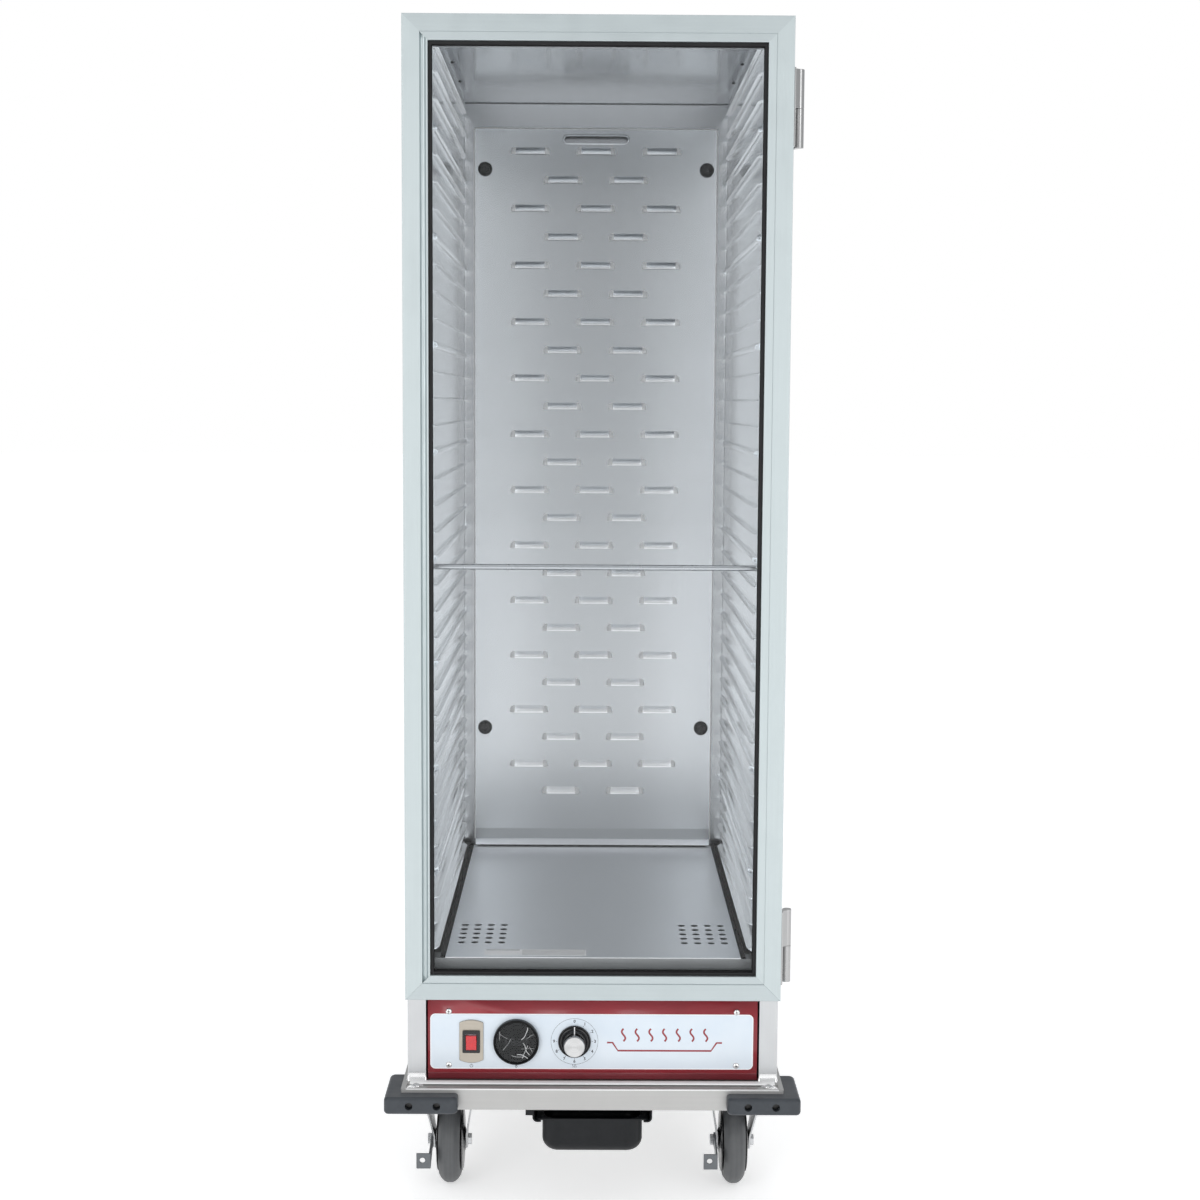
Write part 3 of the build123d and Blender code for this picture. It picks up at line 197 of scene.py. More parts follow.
def duct_metal(name, colour, roughness):
    """Brushed duct sheet, with painted shade down the middle and a painted dark reflection along its foot."""
    metal = Finish(name, colour, roughness, 1.0)
    metal.tint(metal.noise(260, (1, 1, 0.02), 2.0), shaded(colour, 0.95), 0.7)
    metal.tint(metal.noise(3.2, detail=2.0), shaded(colour, 0.92), 0.8)
    # painted shade: the sheet darkens towards the middle, leaving its sides lighter
    off_middle = metal.maths("ShaderNodeMath", "ABSOLUTE", metal.axis("X"))
    metal.tint(metal.spread(off_middle, 0.75, 0.25, 0.0, 0.24), shaded(colour, 0.68), 0.9)
    # painted dark reflection: a darker band along the foot of the sheet
    foot_reflection_band = metal.spread(metal.axis("Z"), 1.0, 0.0, 0.399, 0.408)
    metal.tint(foot_reflection_band, shaded(colour, 0.62), 1.0)
    metal.bump(metal.noise(2.6, detail=1.0), 0.25, 0.003)
    return metal.material


def moulded(name, colour, roughness, grit=0.12, scale=1500, **sockets):
    """Moulded rubber or plastic: fine texture, faint scuffs."""
    plastic = Finish(name, colour, roughness, 0.0, **sockets)
    fine = plastic.noise(scale, detail=3.0)
    scuffs = plastic.noise(48, detail=7.0, roughness=0.7)
    plastic.tint(scuffs, tuple(min(1.0, c * 1.35 + 0.01) for c in colour), 0.5)
    plastic.rough(scuffs, roughness - 0.06, roughness + 0.10)
    plastic.bump(fine, grit, 0.0001)
    return plastic.material


DOOR = satin_metal("door_anodised", (0.545, 0.605, 0.615), 0.40, 0.75)
# The rails take a darker copy of the door colour: painted shade, for how the light falls on them.
DOOR_RAIL = satin_metal("door_anodised_rail", (0.505, 0.560, 0.572), 0.40, 0.75, "X")
POST = satin_metal("post_aluminium", (0.58, 0.59, 0.60), 0.32)
BASE = satin_metal("base_aluminium", (0.49, 0.487, 0.478), 0.42, 0.7, grain="X")
SKIN = sheet_metal("skin_aluminium", (0.74, 0.75, 0.76), 0.36, "Z")
LINER = sheet_metal("liner_aluminium", (0.97, 0.985, 0.995), 0.15, "Y", 0.97, 0.10)
CEILING = sheet_metal("ceiling_aluminium", (0.50, 0.525, 0.55), 0.15, "Y", 0.96, 0.35)
REAR_WALL = sheet_metal("rear_wall_aluminium", (0.50, 0.52, 0.54), 0.22, "Z", 0.94, 0.15)
DUCT_SHEET = duct_metal("duct_aluminium", (0.70, 0.735, 0.765), 0.27)
# Louvre hoods: a lighter copy of the duct sheet they are pressed from, painted light on their up-facing tops.
LOUVRE = sheet_metal("louvre_aluminium", (0.92, 0.94, 0.96), 0.26, "X", 0.97, 0.0)
# Near-white matte strip finish: painted highlight on the base's top strip and front edge.
HIGHLIGHT_STRIP = satin_metal("highlight_strip", (0.98, 0.98, 0.98), 0.40, 0.0, "X")
# Near-white matte finish for the louvre ends and the duct's folded edges: painted highlight.
TIP_HIGHLIGHT = satin_metal("highlight_tips", (0.97, 0.98, 0.99), 0.35, 0.0, "X")
FLOOR = sheet_metal("floor_aluminium", (0.88, 0.90, 0.925), 0.28, "Y", 0.975, 0.10)
SILL = satin_metal("sill_dark", (0.33, 0.345, 0.355), 0.42, 0.8, "X")
ZINC = satin_metal("zinc_plate", (0.62, 0.63, 0.64), 0.26)
BRAKE = satin_metal("brake_steel", (0.17, 0.18, 0.19), 0.32)
HINGE = satin_metal("hinge_steel", (0.46, 0.46, 0.46), 0.28)
BRACKET = satin_metal("bracket_aluminium", (0.55, 0.55, 0.55), 0.42)
POLISHED = satin_metal("polished_steel", (0.86, 0.86, 0.86), 0.16, grain="X")
BAR = satin_metal("bar_steel", (0.50, 0.53, 0.56), 0.24, grain="X")
WELD = satin_metal("weld_aluminium", (0.86, 0.86, 0.86), 0.20)
CHAMPAGNE = satin_metal("champagne_steel", (0.47, 0.43, 0.37), 0.34, grain="X")
MOTOR = satin_metal("motor_paint", (0.16, 0.16, 0.17), 0.45, 0.3)
HEATER = satin_metal("heater_steel", (0.30, 0.27, 0.25), 0.40)
BUMPER = moulded("bumper_rubber", (0.038, 0.044, 0.052), 0.38, 0.15, 420, Specular_IOR_Level=0.40)
GASKET = moulded("gasket_rubber", (0.010, 0.010, 0.011), 0.45, Specular_IOR_Level=0.25)
SEAL = moulded("seal_rubber", (0.010, 0.010, 0.010), 0.65, Specular_IOR_Level=0.12)
TRAY = moulded("tray_plastic", (0.006, 0.007, 0.0085), 0.42, 0.15, 420, Specular_IOR_Level=0.25)
BLACK = moulded("black_plastic", (0.010, 0.010, 0.011), 0.22, 0.03)
GLOSS_BLACK = moulded("gloss_black", (0.006, 0.006, 0.007), 0.10, 0.0)
DARK_STEEL = moulded("black_oxide", (0.02, 0.02, 0.02), 0.35)
WHITE = moulded("white_print", (0.85, 0.86, 0.88), 0.4, 0.02)
INK = moulded("black_print", (0.03, 0.03, 0.035), 0.45, 0.02)
LABEL_GREY = moulded("label_field", (0.62, 0.63, 0.64), 0.5, 0.02)
FIBRE = moulded("fibre_blanket", (0.72, 0.70, 0.62), 0.9, 1.0, 400)


def tread_rubber():
    """Grey moulded tread with faint lines worn round it."""
    rubber = Finish("wheel_rubber", (0.094, 0.098, 0.103), 0.50, 0.0)
    rubber.tint(rubber.noise(260, (1, 0.02, 0.02), 3.0), (0.060, 0.063, 0.066), 0.75)
    rubber.tint(rubber.noise(48, detail=5.0, roughness=0.7), (0.115, 0.118, 0.120), 0.4)
    rubber.bump(rubber.noise(420, detail=3.0), 0.12, 0.0001)
    return rubber.material


def overlay_red(name="panel_red", colour=(0.32, 0.024, 0.035)):
    """Gloss printed polycarbonate overlay over the folded front."""
    paint = Finish(name, colour, 0.34, Coat_Weight=0.4, Coat_Roughness=0.15)
    cloud = paint.noise(26, detail=5.0)
    paint.tint(cloud, shaded(colour, 0.82), 0.7)
    paint.rough(cloud, 0.28, 0.40)
    paint.bump(paint.noise(1400, detail=2.0), 0.06, 0.0001)
    return paint.material


def field_white():
    """Cool white field of the overlay, faintly graded from top to bottom."""
    paint = Finish("panel_field", (0.715, 0.785, 0.855), 0.36, Coat_Weight=0.3, Coat_Roughness=0.2)
    paint.tint(paint.spread(paint.axis("Z"), 0.0, 1.0, 0.20, 0.285), (0.66, 0.745, 0.835), 0.6)
    paint.tint(paint.noise(30, detail=4.0), (0.75, 0.81, 0.87), 0.5)
    paint.bump(paint.noise(1300, detail=2.0), 0.05, 0.0001)
    return paint.material


def rocker_red():
    """Translucent red rocker."""
    plastic = Finish(
        "rocker_red", (0.62, 0.020, 0.028), 0.22, Coat_Weight=0.6, Coat_Roughness=0.08,
        Emission_Color=(0.5, 0.01, 0.015, 1.0), Emission_Strength=0.12,
    )
    cloud = plastic.noise(320, detail=3.0)
    plastic.tint(cloud, (0.40, 0.012, 0.018), 0.6)
    plastic.bump(plastic.cells(900), 0.12, 0.0002)
    return plastic.material


def spun_cap():
    """Spun aluminium: rings round the knob's axis."""
    metal = Finish("spun_aluminium", (0.66, 0.66, 0.66), 0.30, 1.0, Anisotropic=0.9)
    low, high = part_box("knob_cap")
    centre = ((low.x + high.x) / 2, 0.0, (low.z + high.z) / 2)
    offset = metal.maths("ShaderNodeVectorMath", "SUBTRACT", metal.place.outputs["Object"], centre)
    flat = metal.maths("ShaderNodeVectorMath", "MULTIPLY", offset, (1.0, 0.0, 1.0))
    radius = metal.maths("ShaderNodeVectorMath", "LENGTH", flat)
    rings = metal.nodes.new("ShaderNodeTexNoise")
    rings.noise_dimensions = "1D"
    rings.inputs["Scale"].default_value = 900
    rings.inputs["Detail"].default_value = 2.0
    metal.links.new(radius, rings.inputs["W"])
    metal.tint(rings.outputs["Fac"], (0.50, 0.50, 0.50), 0.6)
    round_axis = metal.nodes.new("ShaderNodeTangent")
    round_axis.direction_type = "RADIAL"
    round_axis.axis = "Y"
    metal.links.new(round_axis.outputs["Tangent"], metal.bsdf.inputs["Tangent"])
    return metal.material


def clear_pane():
    """Clear glazing: almost all light passes straight through, with a thin mirror sheen."""
    pane = Finish("pane_clear", (0.93, 0.95, 0.96), 0.03, 1.0, Alpha=0.014)
    wobble = pane.noise(3.0, detail=2.0)
    pane.bump(wobble, 0.15, 0.002)
    return pane.material


def film():
    """Clear protective film over the thermometer face, slightly crumpled."""
    film = Finish("thermometer_lens", (0.60, 0.62, 0.63), 0.08, 0.9, Alpha=0.022)
    film.bump(film.noise(30, (1.0, 1.0, 0.5), 1.0, distortion=1.5), 0.6, 0.006)
    return film.material


def crease():
    """Painted highlight along a folded ridge of the film: a near-white, mostly opaque strip."""
    ridge = Finish("film_crease_highlight", (0.95, 0.96, 0.97), 0.30, 0.0, Alpha=0.72)
    ridge.tint(ridge.noise(500, detail=2.0), (0.50, 0.52, 0.53), 0.7)
    return ridge.material


RED = overlay_red()
TYRE = tread_rubber()
# A darker copy of the red overlay for the turned-under lower edge: painted shade where it faces down.
SHADED_RED = overlay_red("panel_red_shaded", (0.205, 0.024, 0.034))
FIELD = field_white()
ROCKER = rocker_red()
CAP = spun_cap()
PANE = clear_pane()
FILM = film()
# Near-white film folds: painted highlights.
CREASE_HIGHLIGHT = crease()
LCD = moulded("lcd_face", (0.007, 0.0075, 0.008), 0.22, 0.0, Specular_IOR_Level=0.18)
SEGMENTS = moulded("lcd_segments", (0.030, 0.032, 0.034), 0.30, 0.0, Specular_IOR_Level=0.2)


# ---------------------------------------------------------------- mesh helpers
def place(name, bm, material, body, replaced=(), angle=35, weighted=True):
    """Turns a bmesh into a named piece that rides on a body."""
    bmesh.ops.recalc_face_normals(bm, faces=bm.faces)
    mesh = bpy.data.meshes.new(name)
    bm.to_mesh(mesh)
    bm.free()
    mesh.materials.append(material)
    mesh.shade_smooth()
    mesh.set_sharp_from_angle(angle=math.radians(angle))
    piece = bpy.data.objects.new(name, mesh)
    bpy.context.scene.collection.objects.link(piece)
    if weighted:
        modifier = piece.modifiers.new("weighted_normals", "WEIGHTED_NORMAL")
        modifier.keep_sharp = True
    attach(piece, body)
    if replaced:
        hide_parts(*replaced)
    return piece


def finished(node, material, width=0.5 * MM, segments=2):
    """The CAD shape with its sharp edges rounded over, standing for the CAD node."""
    source = frame["nodes"][node]
    bm = bmesh.new()
    bm.from_mesh(source.data)
    bmesh.ops.remove_doubles(bm, verts=bm.verts, dist=1e-6)
    bmesh.ops.dissolve_limit(bm, angle_limit=math.radians(0.5), verts=bm.verts, edges=bm.edges)
    sharp = [e for e in bm.edges if len(e.link_faces) == 2 and e.calc_face_angle(0.0) > math.radians(32)]
    bmesh.ops.bevel(
        bm, geom=sharp, offset=width, segments=segments, profile=0.5, affect="EDGES", clamp_overlap=True
    )
    return place(node + "_finish", bm, material, source["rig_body"], (node,))


def lathe(bm, profile, origin, axis, steps=96):
    """Revolves (along, radius) points about an axis through origin."""
    axis = Vector(axis).normalized()
    side = axis.orthogonal().normalized()
    rings = []
    for along, radius in profile:
        ring = []
        for step in range(steps if radius > 1e-7 else 1):
            turn = Matrix.Rotation(2 * math.pi * step / steps, 3, axis)
            ring.append(bm.verts.new(Vector(origin) + axis * along + turn @ side * radius))
        rings.append(ring)
    for low, high in zip(rings, rings[1:]):
        for step in range(steps):
            after = (step + 1) % steps
            if len(low) == 1 and len(high) == 1:
                continue
            if len(low) == 1:
                bm.faces.new((low[0], high[after], high[step]))
            elif len(high) == 1:
                bm.faces.new((low[step], low[after], high[0]))
            else:
                bm.faces.new((low[step], low[after], high[after], high[step]))
    return rings


def skin(bm, rings):
    """Faces between closed rings with as many points each."""
    count = len(rings[0])
    for low, high in zip(rings, rings[1:]):
        for i in range(count):
            after = (i + 1) % count
            bm.faces.new((low[i], low[after], high[after], high[i]))


def mm(points):
    """A table of points in mm, in metres."""
    return [(a * MM, b * MM) for a, b in points]


def arc(centre, radius, start, end, steps=8):
    """Points on an arc, angles in degrees."""
    return [
        (
            centre[0] + radius * math.cos(math.radians(start + (end - start) * i / steps)),
            centre[1] + radius * math.sin(math.radians(start + (end - start) * i / steps)),
        )
        for i in range(steps + 1)
    ]


def rectangle(x, z, half_width, half_height):
    return [(x + sx * half_width, z + sz * half_height) for sx, sz in ((-1, -1), (1, -1), (1, 1), (-1, 1))]


def rounded_rectangle(width, height, radius, steps=8):
    """Outline of a rounded rectangle about zero."""
    x, z = width / 2 - radius, height / 2 - radius
    points = []
    for (cx, cz), start in zip(((x, z), (-x, z), (-x, -z), (x, -z)), (0, 90, 180, 270)):
        points += arc((cx, cz), radius, start, start + 90, steps)
    return points


def plate(bm, outline, front, back, soften=0.0):
    """Flat plate with a front face at y = front, its outline in x and z, and softened front edges."""
    count = len(outline)
    centre = Vector((sum(p[0] for p in outline) / count, 0, sum(p[1] for p in outline) / count))

    def ring(y, inset):
        made = []
        for x, z in outline:
            point = Vector((x, 0, z)) - centre
            point = point * (1 - inset / max(point.length, 1e-6)) + centre
            made.append(bm.verts.new((point.x, y, point.z)))
        return made

    rings = [ring(back, 0.0), ring(front + soften, 0.0), ring(front + 0.3 * soften, 0.3 * soften)]
    rings.append(ring(front, soften))
    skin(bm, rings)
    bm.faces.new(rings[-1])
    bm.faces.new(list(reversed(rings[0])))


# ---------------------------------------------------------------- CAD shapes with rounded edges
def finish_all(*rows):
    """Rows of nodes, material, edge radius in mm and bevel segments."""
    for nodes, material, width, segments in rows:
        for node in nodes.split():
            finished(node, material, width * MM, segments)


finish_all(
    ("stile_left stile_right", DOOR, 0.75, 2),
    ("rail_top rail_bottom", DOOR_RAIL, 0.75, 2),
    ("jamb_left jamb_right header_rail", POST, 1.2, 3),
    ("sill_rail", SILL, 0.8, 2),
    ("base_frame", BASE, 1.1, 3),
    ("side_panel_left side_panel_right back_panel top_panel", SKIN, 0.3, 2),
    ("liner_back", REAR_WALL, 0.3, 2),
    ("liner_top", CEILING, 0.3, 2),
    ("tie_bar", BAR, 0.5, 2),
    ("floor_panel", FLOOR, 0.3, 2),
    ("floor_seals", SEAL, 0.4, 2),
)
for side in ("left", "right"):
    for end in ("front", "rear"):
        finished(f"bumper_{end}_{side}", BUMPER, 0.8 * MM)
        finished(f"fork_{end}_{side}", ZINC, 0.6 * MM)
    finished(f"brake_lever_{side}", BRAKE, 0.9 * MM, 3)
finish_all(
    ("caster_plates", ZINC, 0.8, 2),
    ("bumper_screws", DARK_STEEL, 0.6, 2),
    ("hinge_leaves_body hinge_leaves_door", HINGE, 0.9, 3),
    ("door_seal", SEAL, 0.8, 2),
    ("drip_tray", TRAY, 0.7, 2),
    ("tray_rails", TRAY, 0.4, 2),
    ("switch_plate", CHAMPAGNE, 0.9, 3),
    ("switch_body", BLACK, 0.6, 2),
    ("rocker", ROCKER, 0.6, 2),
    ("thermostat", BLACK, 0.8, 2),
    ("module_chassis", BRACKET, 0.3, 2),
    ("heating_element", HEATER, 0.3, 2),
    ("fan_motor", MOTOR, 1.0, 2),
    ("blower_wheel", BRACKET, 0.2, 2),
    ("power_gland", BLACK, 0.8, 2),
    ("insulation", FIBRE, 1.5, 2),
    ("door_pane", PANE, 0.3, 2),
)


def slim_gasket():
    """Glazing gasket, its lip drawn in towards the frame as a soft rubber edge settles."""
    piece = finished("pane_gasket", GASKET, 0.9 * MM, 3)
    low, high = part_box("pane_gasket")
    centre = (low + high) / 2
    verts = piece.data.vertices
    inner_x = min(abs(v.co.x - centre.x) for v in verts)
    inner_z = min(abs(v.co.z - centre.z) for v in verts)
    draw = 1.4 * MM
    for vert in verts:
        x, z = vert.co.x - centre.x, vert.co.z - centre.z
        if abs(x) < inner_x + 1.0 * MM:
            vert.co.x += math.copysign(draw, x)
        if abs(z) < inner_z + 1.0 * MM:
            vert.co.z += math.copysign(draw, z)


slim_gasket()


# ---------------------------------------------------------------- liner walls with pressed slides
SLIDE_COUNT, SLIDE_PITCH, SLIDE_REACH = 35, 38.1 * MM, 7.0 * MM
SLIDE_HEIGHT, HEAVY_SLIDE_HEIGHT, HEAVY_SLIDE_STEP = 5.0 * MM, 12.0 * MM, 4
WALL_SHEET = 1.0 * MM


def smooth_step(t):
    return t * t * (3 - 2 * t)


def liner_wall(side):
    """Side wall of the cavity as one pressed sheet: rounded slides that run out smoothly at their ends."""
    name = "left" if side < 0 else "right"
    low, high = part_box(f"liner_{name}")
    wall = low.x if side < 0 else high.x
    back, foot, top = high.y, low.z + 2.4 * MM, high.z
    front = low.y
    face_x = side * 232.5 * MM
    slide_front, slide_back = front + 2 * MM, front + 718 * MM
    first = foot + 6.8 * MM
    run_in, runout = 30.0 * MM, 20.0 * MM
    levels = [(foot, 0.0)]
    for index in range(SLIDE_COUNT):
        heavy = index % HEAVY_SLIDE_STEP == HEAVY_SLIDE_STEP - 1
        half = (HEAVY_SLIDE_HEIGHT if heavy else SLIDE_HEIGHT) / 2
        middle = first + index * SLIDE_PITCH
        steps = 10 if heavy else 8
        for k in range(steps + 1):
            angle = math.pi * k / steps
            nose = math.sin(angle) ** 0.6 if heavy else 1 - abs(math.cos(angle)) ** 1.3
            levels.append((middle - half * math.cos(angle), SLIDE_REACH * nose))
    levels.append((top, 0.0))
    stations = [(front, 0.0), (slide_front, 0.0)]
    stations += [(slide_front + run_in * k / 8, smooth_step(k / 8)) for k in range(1, 9)]
    stations += [(slide_back - runout * (1 - k / 8), smooth_step(1 - k / 8)) for k in range(9)]
    stations.append((back, 0.0))
    bm = bmesh.new()
    columns = [
        [bm.verts.new((face_x - side * reach * keep, y, z)) for z, reach in levels] for y, keep in stations
    ]
    for near, far in zip(columns, columns[1:]):
        for i in range(len(levels) - 1):
            bm.faces.new((near[i], near[i + 1], far[i + 1], far[i]))
    # return flange at the front, out to the post
    flange = [bm.verts.new((wall, front, z)) for z, _ in levels]
    for i in range(len(levels) - 1):
        bm.faces.new((columns[0][i], columns[0][i + 1], flange[i + 1], flange[i]))
    piece = place(f"liner_wall_{name}", bm, LINER, "cabinet", (f"liner_{name}",), 60, False)
    shell = piece.modifiers.new("sheet", "SOLIDIFY")
    shell.thickness = WALL_SHEET
    shell.offset = -1.0


for wall_side in (-1, 1):
    liner_wall(wall_side)


# ---------------------------------------------------------------- louvred duct panel
LOUVRE_WIDTH, LOUVRE_HEIGHT, LOUVRE_REACH = 68.0 * MM, 12.0 * MM, 6.0 * MM
LOUVRE_COLUMN, LOUVRE_ROW, LOUVRE_ROWS = 115.4 * MM, 98.8 * MM, 12
LOUVRE_TOP_ROW = 1610.5 * MM
GRIP_LEVEL, GRIP_WIDTH, GRIP_HEIGHT = 1630.5 * MM, 111 * MM, 11.3 * MM
FOLD = 2.5 * MM
TIP = 5  # columns of the louvre's mesh that its ends take, coloured as a painted highlight


def louvre_centres():
    """Rows of three louvres with rows of two between them."""
    for row in range(LOUVRE_ROWS):
        level = LOUVRE_TOP_ROW - row * LOUVRE_ROW
        for column in (-1, 0, 1):
            yield column * LOUVRE_COLUMN, level
        for column in (-0.5, 0.5):
            yield column * LOUVRE_COLUMN, level - LOUVRE_ROW / 2


def hood(bm, tips, x, z, face_y):
    """Pressed louvre: rounded upper corners, an S-shaped rise and a turned-in lip over the opening."""
    across, down, corner = 22, 9, 7.0 * MM
    half = LOUVRE_WIDTH / 2
    rows = []
    for j in range(down + 3):
        row = []
        for i in range(across + 1):
            u = -math.cos(math.pi * i / across)
            reach = max(0.0, abs(u) * half - (half - corner))
            drop = corner - math.sqrt(max(0.0, corner**2 - reach**2))
            top = LOUVRE_HEIGHT / 2 - min(drop, LOUVRE_HEIGHT * 0.8)
            v = min(j / down, 1.0)
            level = top * (1 - v) - LOUVRE_HEIGHT / 2 * v
            rise = math.sin(math.pi / 2 * min(v * 1.12, 1.0)) ** 1.15 * math.sqrt(max(0.0, 1 - abs(u) ** 6))
            proud = LOUVRE_REACH * rise * 0.97
            if j == down + 1:
                proud = max(0.0, proud - 0.9 * MM)
            if j == down + 2:
                proud = max(0.0, proud - 1.2 * MM)
                level += 5 * MM * rise
            row.append((x + u * half, face_y - proud, z + level))
        rows.append(row)
    # the outer columns form the ends, kept apart for their painted-highlight finish
    left, middle, right = range(TIP + 1), range(TIP, across - TIP + 1), range(across - TIP, across + 1)
    for mesh, columns in ((bm, middle), (tips, left), (tips, right)):
        grid = [[mesh.verts.new(row[i]) for i in columns] for row in rows]
        for low, high in zip(grid, grid[1:]):
            for i in range(len(columns) - 1):
                mesh.faces.new((low[i], high[i], high[i + 1], low[i + 1]))


def bent_strip(bm, section, sweep):
    """Sheet strip: the same section at both ends of the sweep, where sweep(point, end) places it."""
    rings = [[bm.verts.new(sweep(point, end)) for point in section] for end in (0, 1)]
    for i in range(len(section) - 1):
        bm.faces.new((rings[0][i], rings[0][i + 1], rings[1][i + 1], rings[1][i]))


def cross_strip(bm, section, half, y, z):
    """Sheet strip across the cabinet, from -half to half, with its section in y and z."""
    bent_strip(bm, section, lambda p, e: ((2 * e - 1) * half, y + p[0], z + p[1]))


def duct_panel():
    low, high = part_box("duct_panel")
    face_y = low.y + LOUVRE_REACH
    back_y = high.y
    foot = low.z + 12.5 * MM
    half, top = high.x - FOLD, high.z - FOLD
    loops = [[(-half, foot), (half, foot), (half, top), (-half, top)]]
    for x, z in louvre_centres():
        width = LOUVRE_WIDTH / 2 - 3 * MM
        bottom, opening = z - LOUVRE_HEIGHT / 2, z + 1 * MM
        loops.append([(x - width, bottom), (x + width, bottom), (x + width, opening), (x - width, opening)])
    grip = rounded_rectangle(GRIP_WIDTH, GRIP_HEIGHT, GRIP_HEIGHT / 2 - 0.01 * MM, 6)
    loops.append([(x, z + GRIP_LEVEL) for x, z in grip])
    bm = bmesh.new()
    triangles = tessellate_polygon([[Vector((x, z, 0)) for x, z in loop] for loop in loops])
    corners = [bm.verts.new((x, face_y, z)) for loop in loops for x, z in loop]
    for triangle in triangles:
        bm.faces.new([corners[i] for i in triangle])
    # folded edges: rounded corner, then a flange back to the liner; they take the near-white tip finish as a
    # painted highlight along the folds
    fold = [(0, 0)] + [(FOLD * math.sin(a), FOLD * (1 - math.cos(a))) for a in (0.4, 0.8, 1.2, math.pi / 2)]
    fold.append((FOLD, back_y - face_y))
    edges = bmesh.new()
    for side in (-1, 1):
        bent_strip(
            edges, fold, lambda p, e, s=side: (s * (half + p[0]), face_y + p[1], foot + e * (top - foot))
        )
    bent_strip(edges, fold, lambda p, e: ((2 * e - 1) * half, face_y + p[1], top + p[0]))
    place("duct_folded_edges", edges, TIP_HIGHLIGHT, "cabinet", angle=60)
    hem = bmesh.new()
    cross_strip(hem, mm([(0, 0), (0.4, -1), (2.2, -6), (3.0, -12.0)]), half, face_y, foot)
    place("duct_foot_hem", hem, FLOOR, "cabinet", angle=40)
    hoods, tips = bmesh.new(), bmesh.new()
    for x, z in louvre_centres():
        hood(hoods, tips, x, z, face_y)
    # the hoods take a lighter colour than the duct sheet: painted light on their tops
    place("duct_louvres", hoods, LOUVRE, "cabinet", angle=50)
    # the louvre ends take the near-white painted highlight
    place("duct_louvre_tips", tips, TIP_HIGHLIGHT, "cabinet", angle=50)
    # raised lip round the grip slot
    rings = []
    for proud, out in mm([(0.0, 3.4), (0.9, 2.6), (1.4, 1.4), (1.2, 0.4), (-1.2, 0.0)]):
        width, height = GRIP_WIDTH + 2 * out, GRIP_HEIGHT + 2 * out
        outline = rounded_rectangle(width, height, height / 2 - 0.01 * MM, 6)
        rings.append([bm.verts.new((x, face_y - proud, z + GRIP_LEVEL)) for x, z in outline])
    skin(bm, rings)
    place("duct_panel_sheet", bm, DUCT_SHEET, "cabinet", ("duct_panel",), 40)


def duct_studs():
    """Dark thumb plugs that hold the duct panel, each with a finger recess."""
    low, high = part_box("duct_studs")
    bm = bmesh.new()
    radius = 12.5 * MM
    face = low.y + 7 * MM
    profile = [(0, 12.5), (3.2, 12.5), (4.6, 11.6), (5.2, 10.2), (4.4, 9.0), (2.2, 8.2)]
    profile += [(1.8, 4.5), (3.6, 3.8), (4.2, 2.6), (4.2, 0.0)]
    for x in (low.x + radius, high.x - radius):
        for z in (low.z + radius, high.z - radius):
            lathe(bm, mm(profile), (x, face, z), (0, -1, 0), 48)
    place("duct_stud_plugs", bm, BLACK, "cabinet", ("duct_studs",))


duct_panel()
duct_studs()


# ---------------------------------------------------------------- casters
SEAM_DEPTH = 0.35  # mm, the mould line round the middle of the tread


def wheels():
    """Grey tread on a dark core, and black thread guards between the wheel and the fork legs."""
    for end in ("front", "rear"):
        for side in ("left", "right"):
            node = f"wheel_{end}_{side}"
            low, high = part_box(node)
            centre = (low + high) / 2
            tread = bmesh.new()
            steps = range(-12, 13)
            crown = [(16 * k / 12, 63.5 - 11.5 * abs(k / 12) ** 2.6 - (k == 0) * SEAM_DEPTH) for k in steps]
            outline = [(-15.2, 49.5), (-16.0, 50.5)] + crown + [(16.0, 50.5), (15.2, 49.5)]
            lathe(tread, mm(outline), centre, (1, 0, 0), 128)
            place(f"tread_{end}_{side}", tread, TYRE, f"wheel_{end}_{side}", (node,), 50)
            core = bmesh.new()
            half = [(15.2, 49.8), (13.2, 47.0), (9.0, 44.5), (5.0, 43.0), (4.5, 30.0), (6.0, 20.0)]
            half += [(12.0, 15.0), (21.5, 13.4), (22.3, 12.6), (22.3, 5.1)]
            profile = [(-a, r) for a, r in reversed(half)] + half
            lathe(core, mm(profile), centre, (1, 0, 0), 96)
            place(f"core_{end}_{side}", core, BLACK, f"wheel_{end}_{side}")
            guard = bmesh.new()
            for way in (-1, 1):
                dish = [(17.0, 13.8), (17.0, 44.0), (17.6, 46.0), (18.6, 46.0), (19.6, 43.0), (20.6, 20.0)]
                dish += [(22.4, 16.0), (22.4, 13.8), (17.0, 13.8)]
                lathe(guard, mm(dish), centre, (way, 0, 0), 72)
            place(f"thread_guards_{end}_{side}", guard, BLACK, f"fork_{end}_{side}")


wheels()


# ---------------------------------------------------------------- front controls
PANEL_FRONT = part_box("switch_plate")[1].y
LEVEL = 244.5 * MM
SWITCH_X, THERMOMETER_X, KNOB_X = (
    (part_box(node)[0].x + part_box(node)[1].x) / 2 for node in ("switch_plate", "thermometer", "knob")
)
OVERLAY_X, OVERLAY_Z = -1.25 * MM, 244.25 * MM
DIAL_RADIUS, NUMBER_RADIUS, MARKS_LEVEL = 34.3 * MM, 30.0 * MM, 207.5 * MM
PRINT = 0.25 * MM
FORWARD = (0, -1, 0)


def printed(name, outline, material, lift):
    """Thin printed layer on the panel, its outline about the middle of the overlay."""
    bm = bmesh.new()
    shifted = [(x + OVERLAY_X, z + OVERLAY_Z) for x, z in outline]
    plate(bm, shifted, PANEL_FRONT - lift, PANEL_FRONT, 0.03 * MM)
    place(name, bm, material, "cabinet", weighted=False)


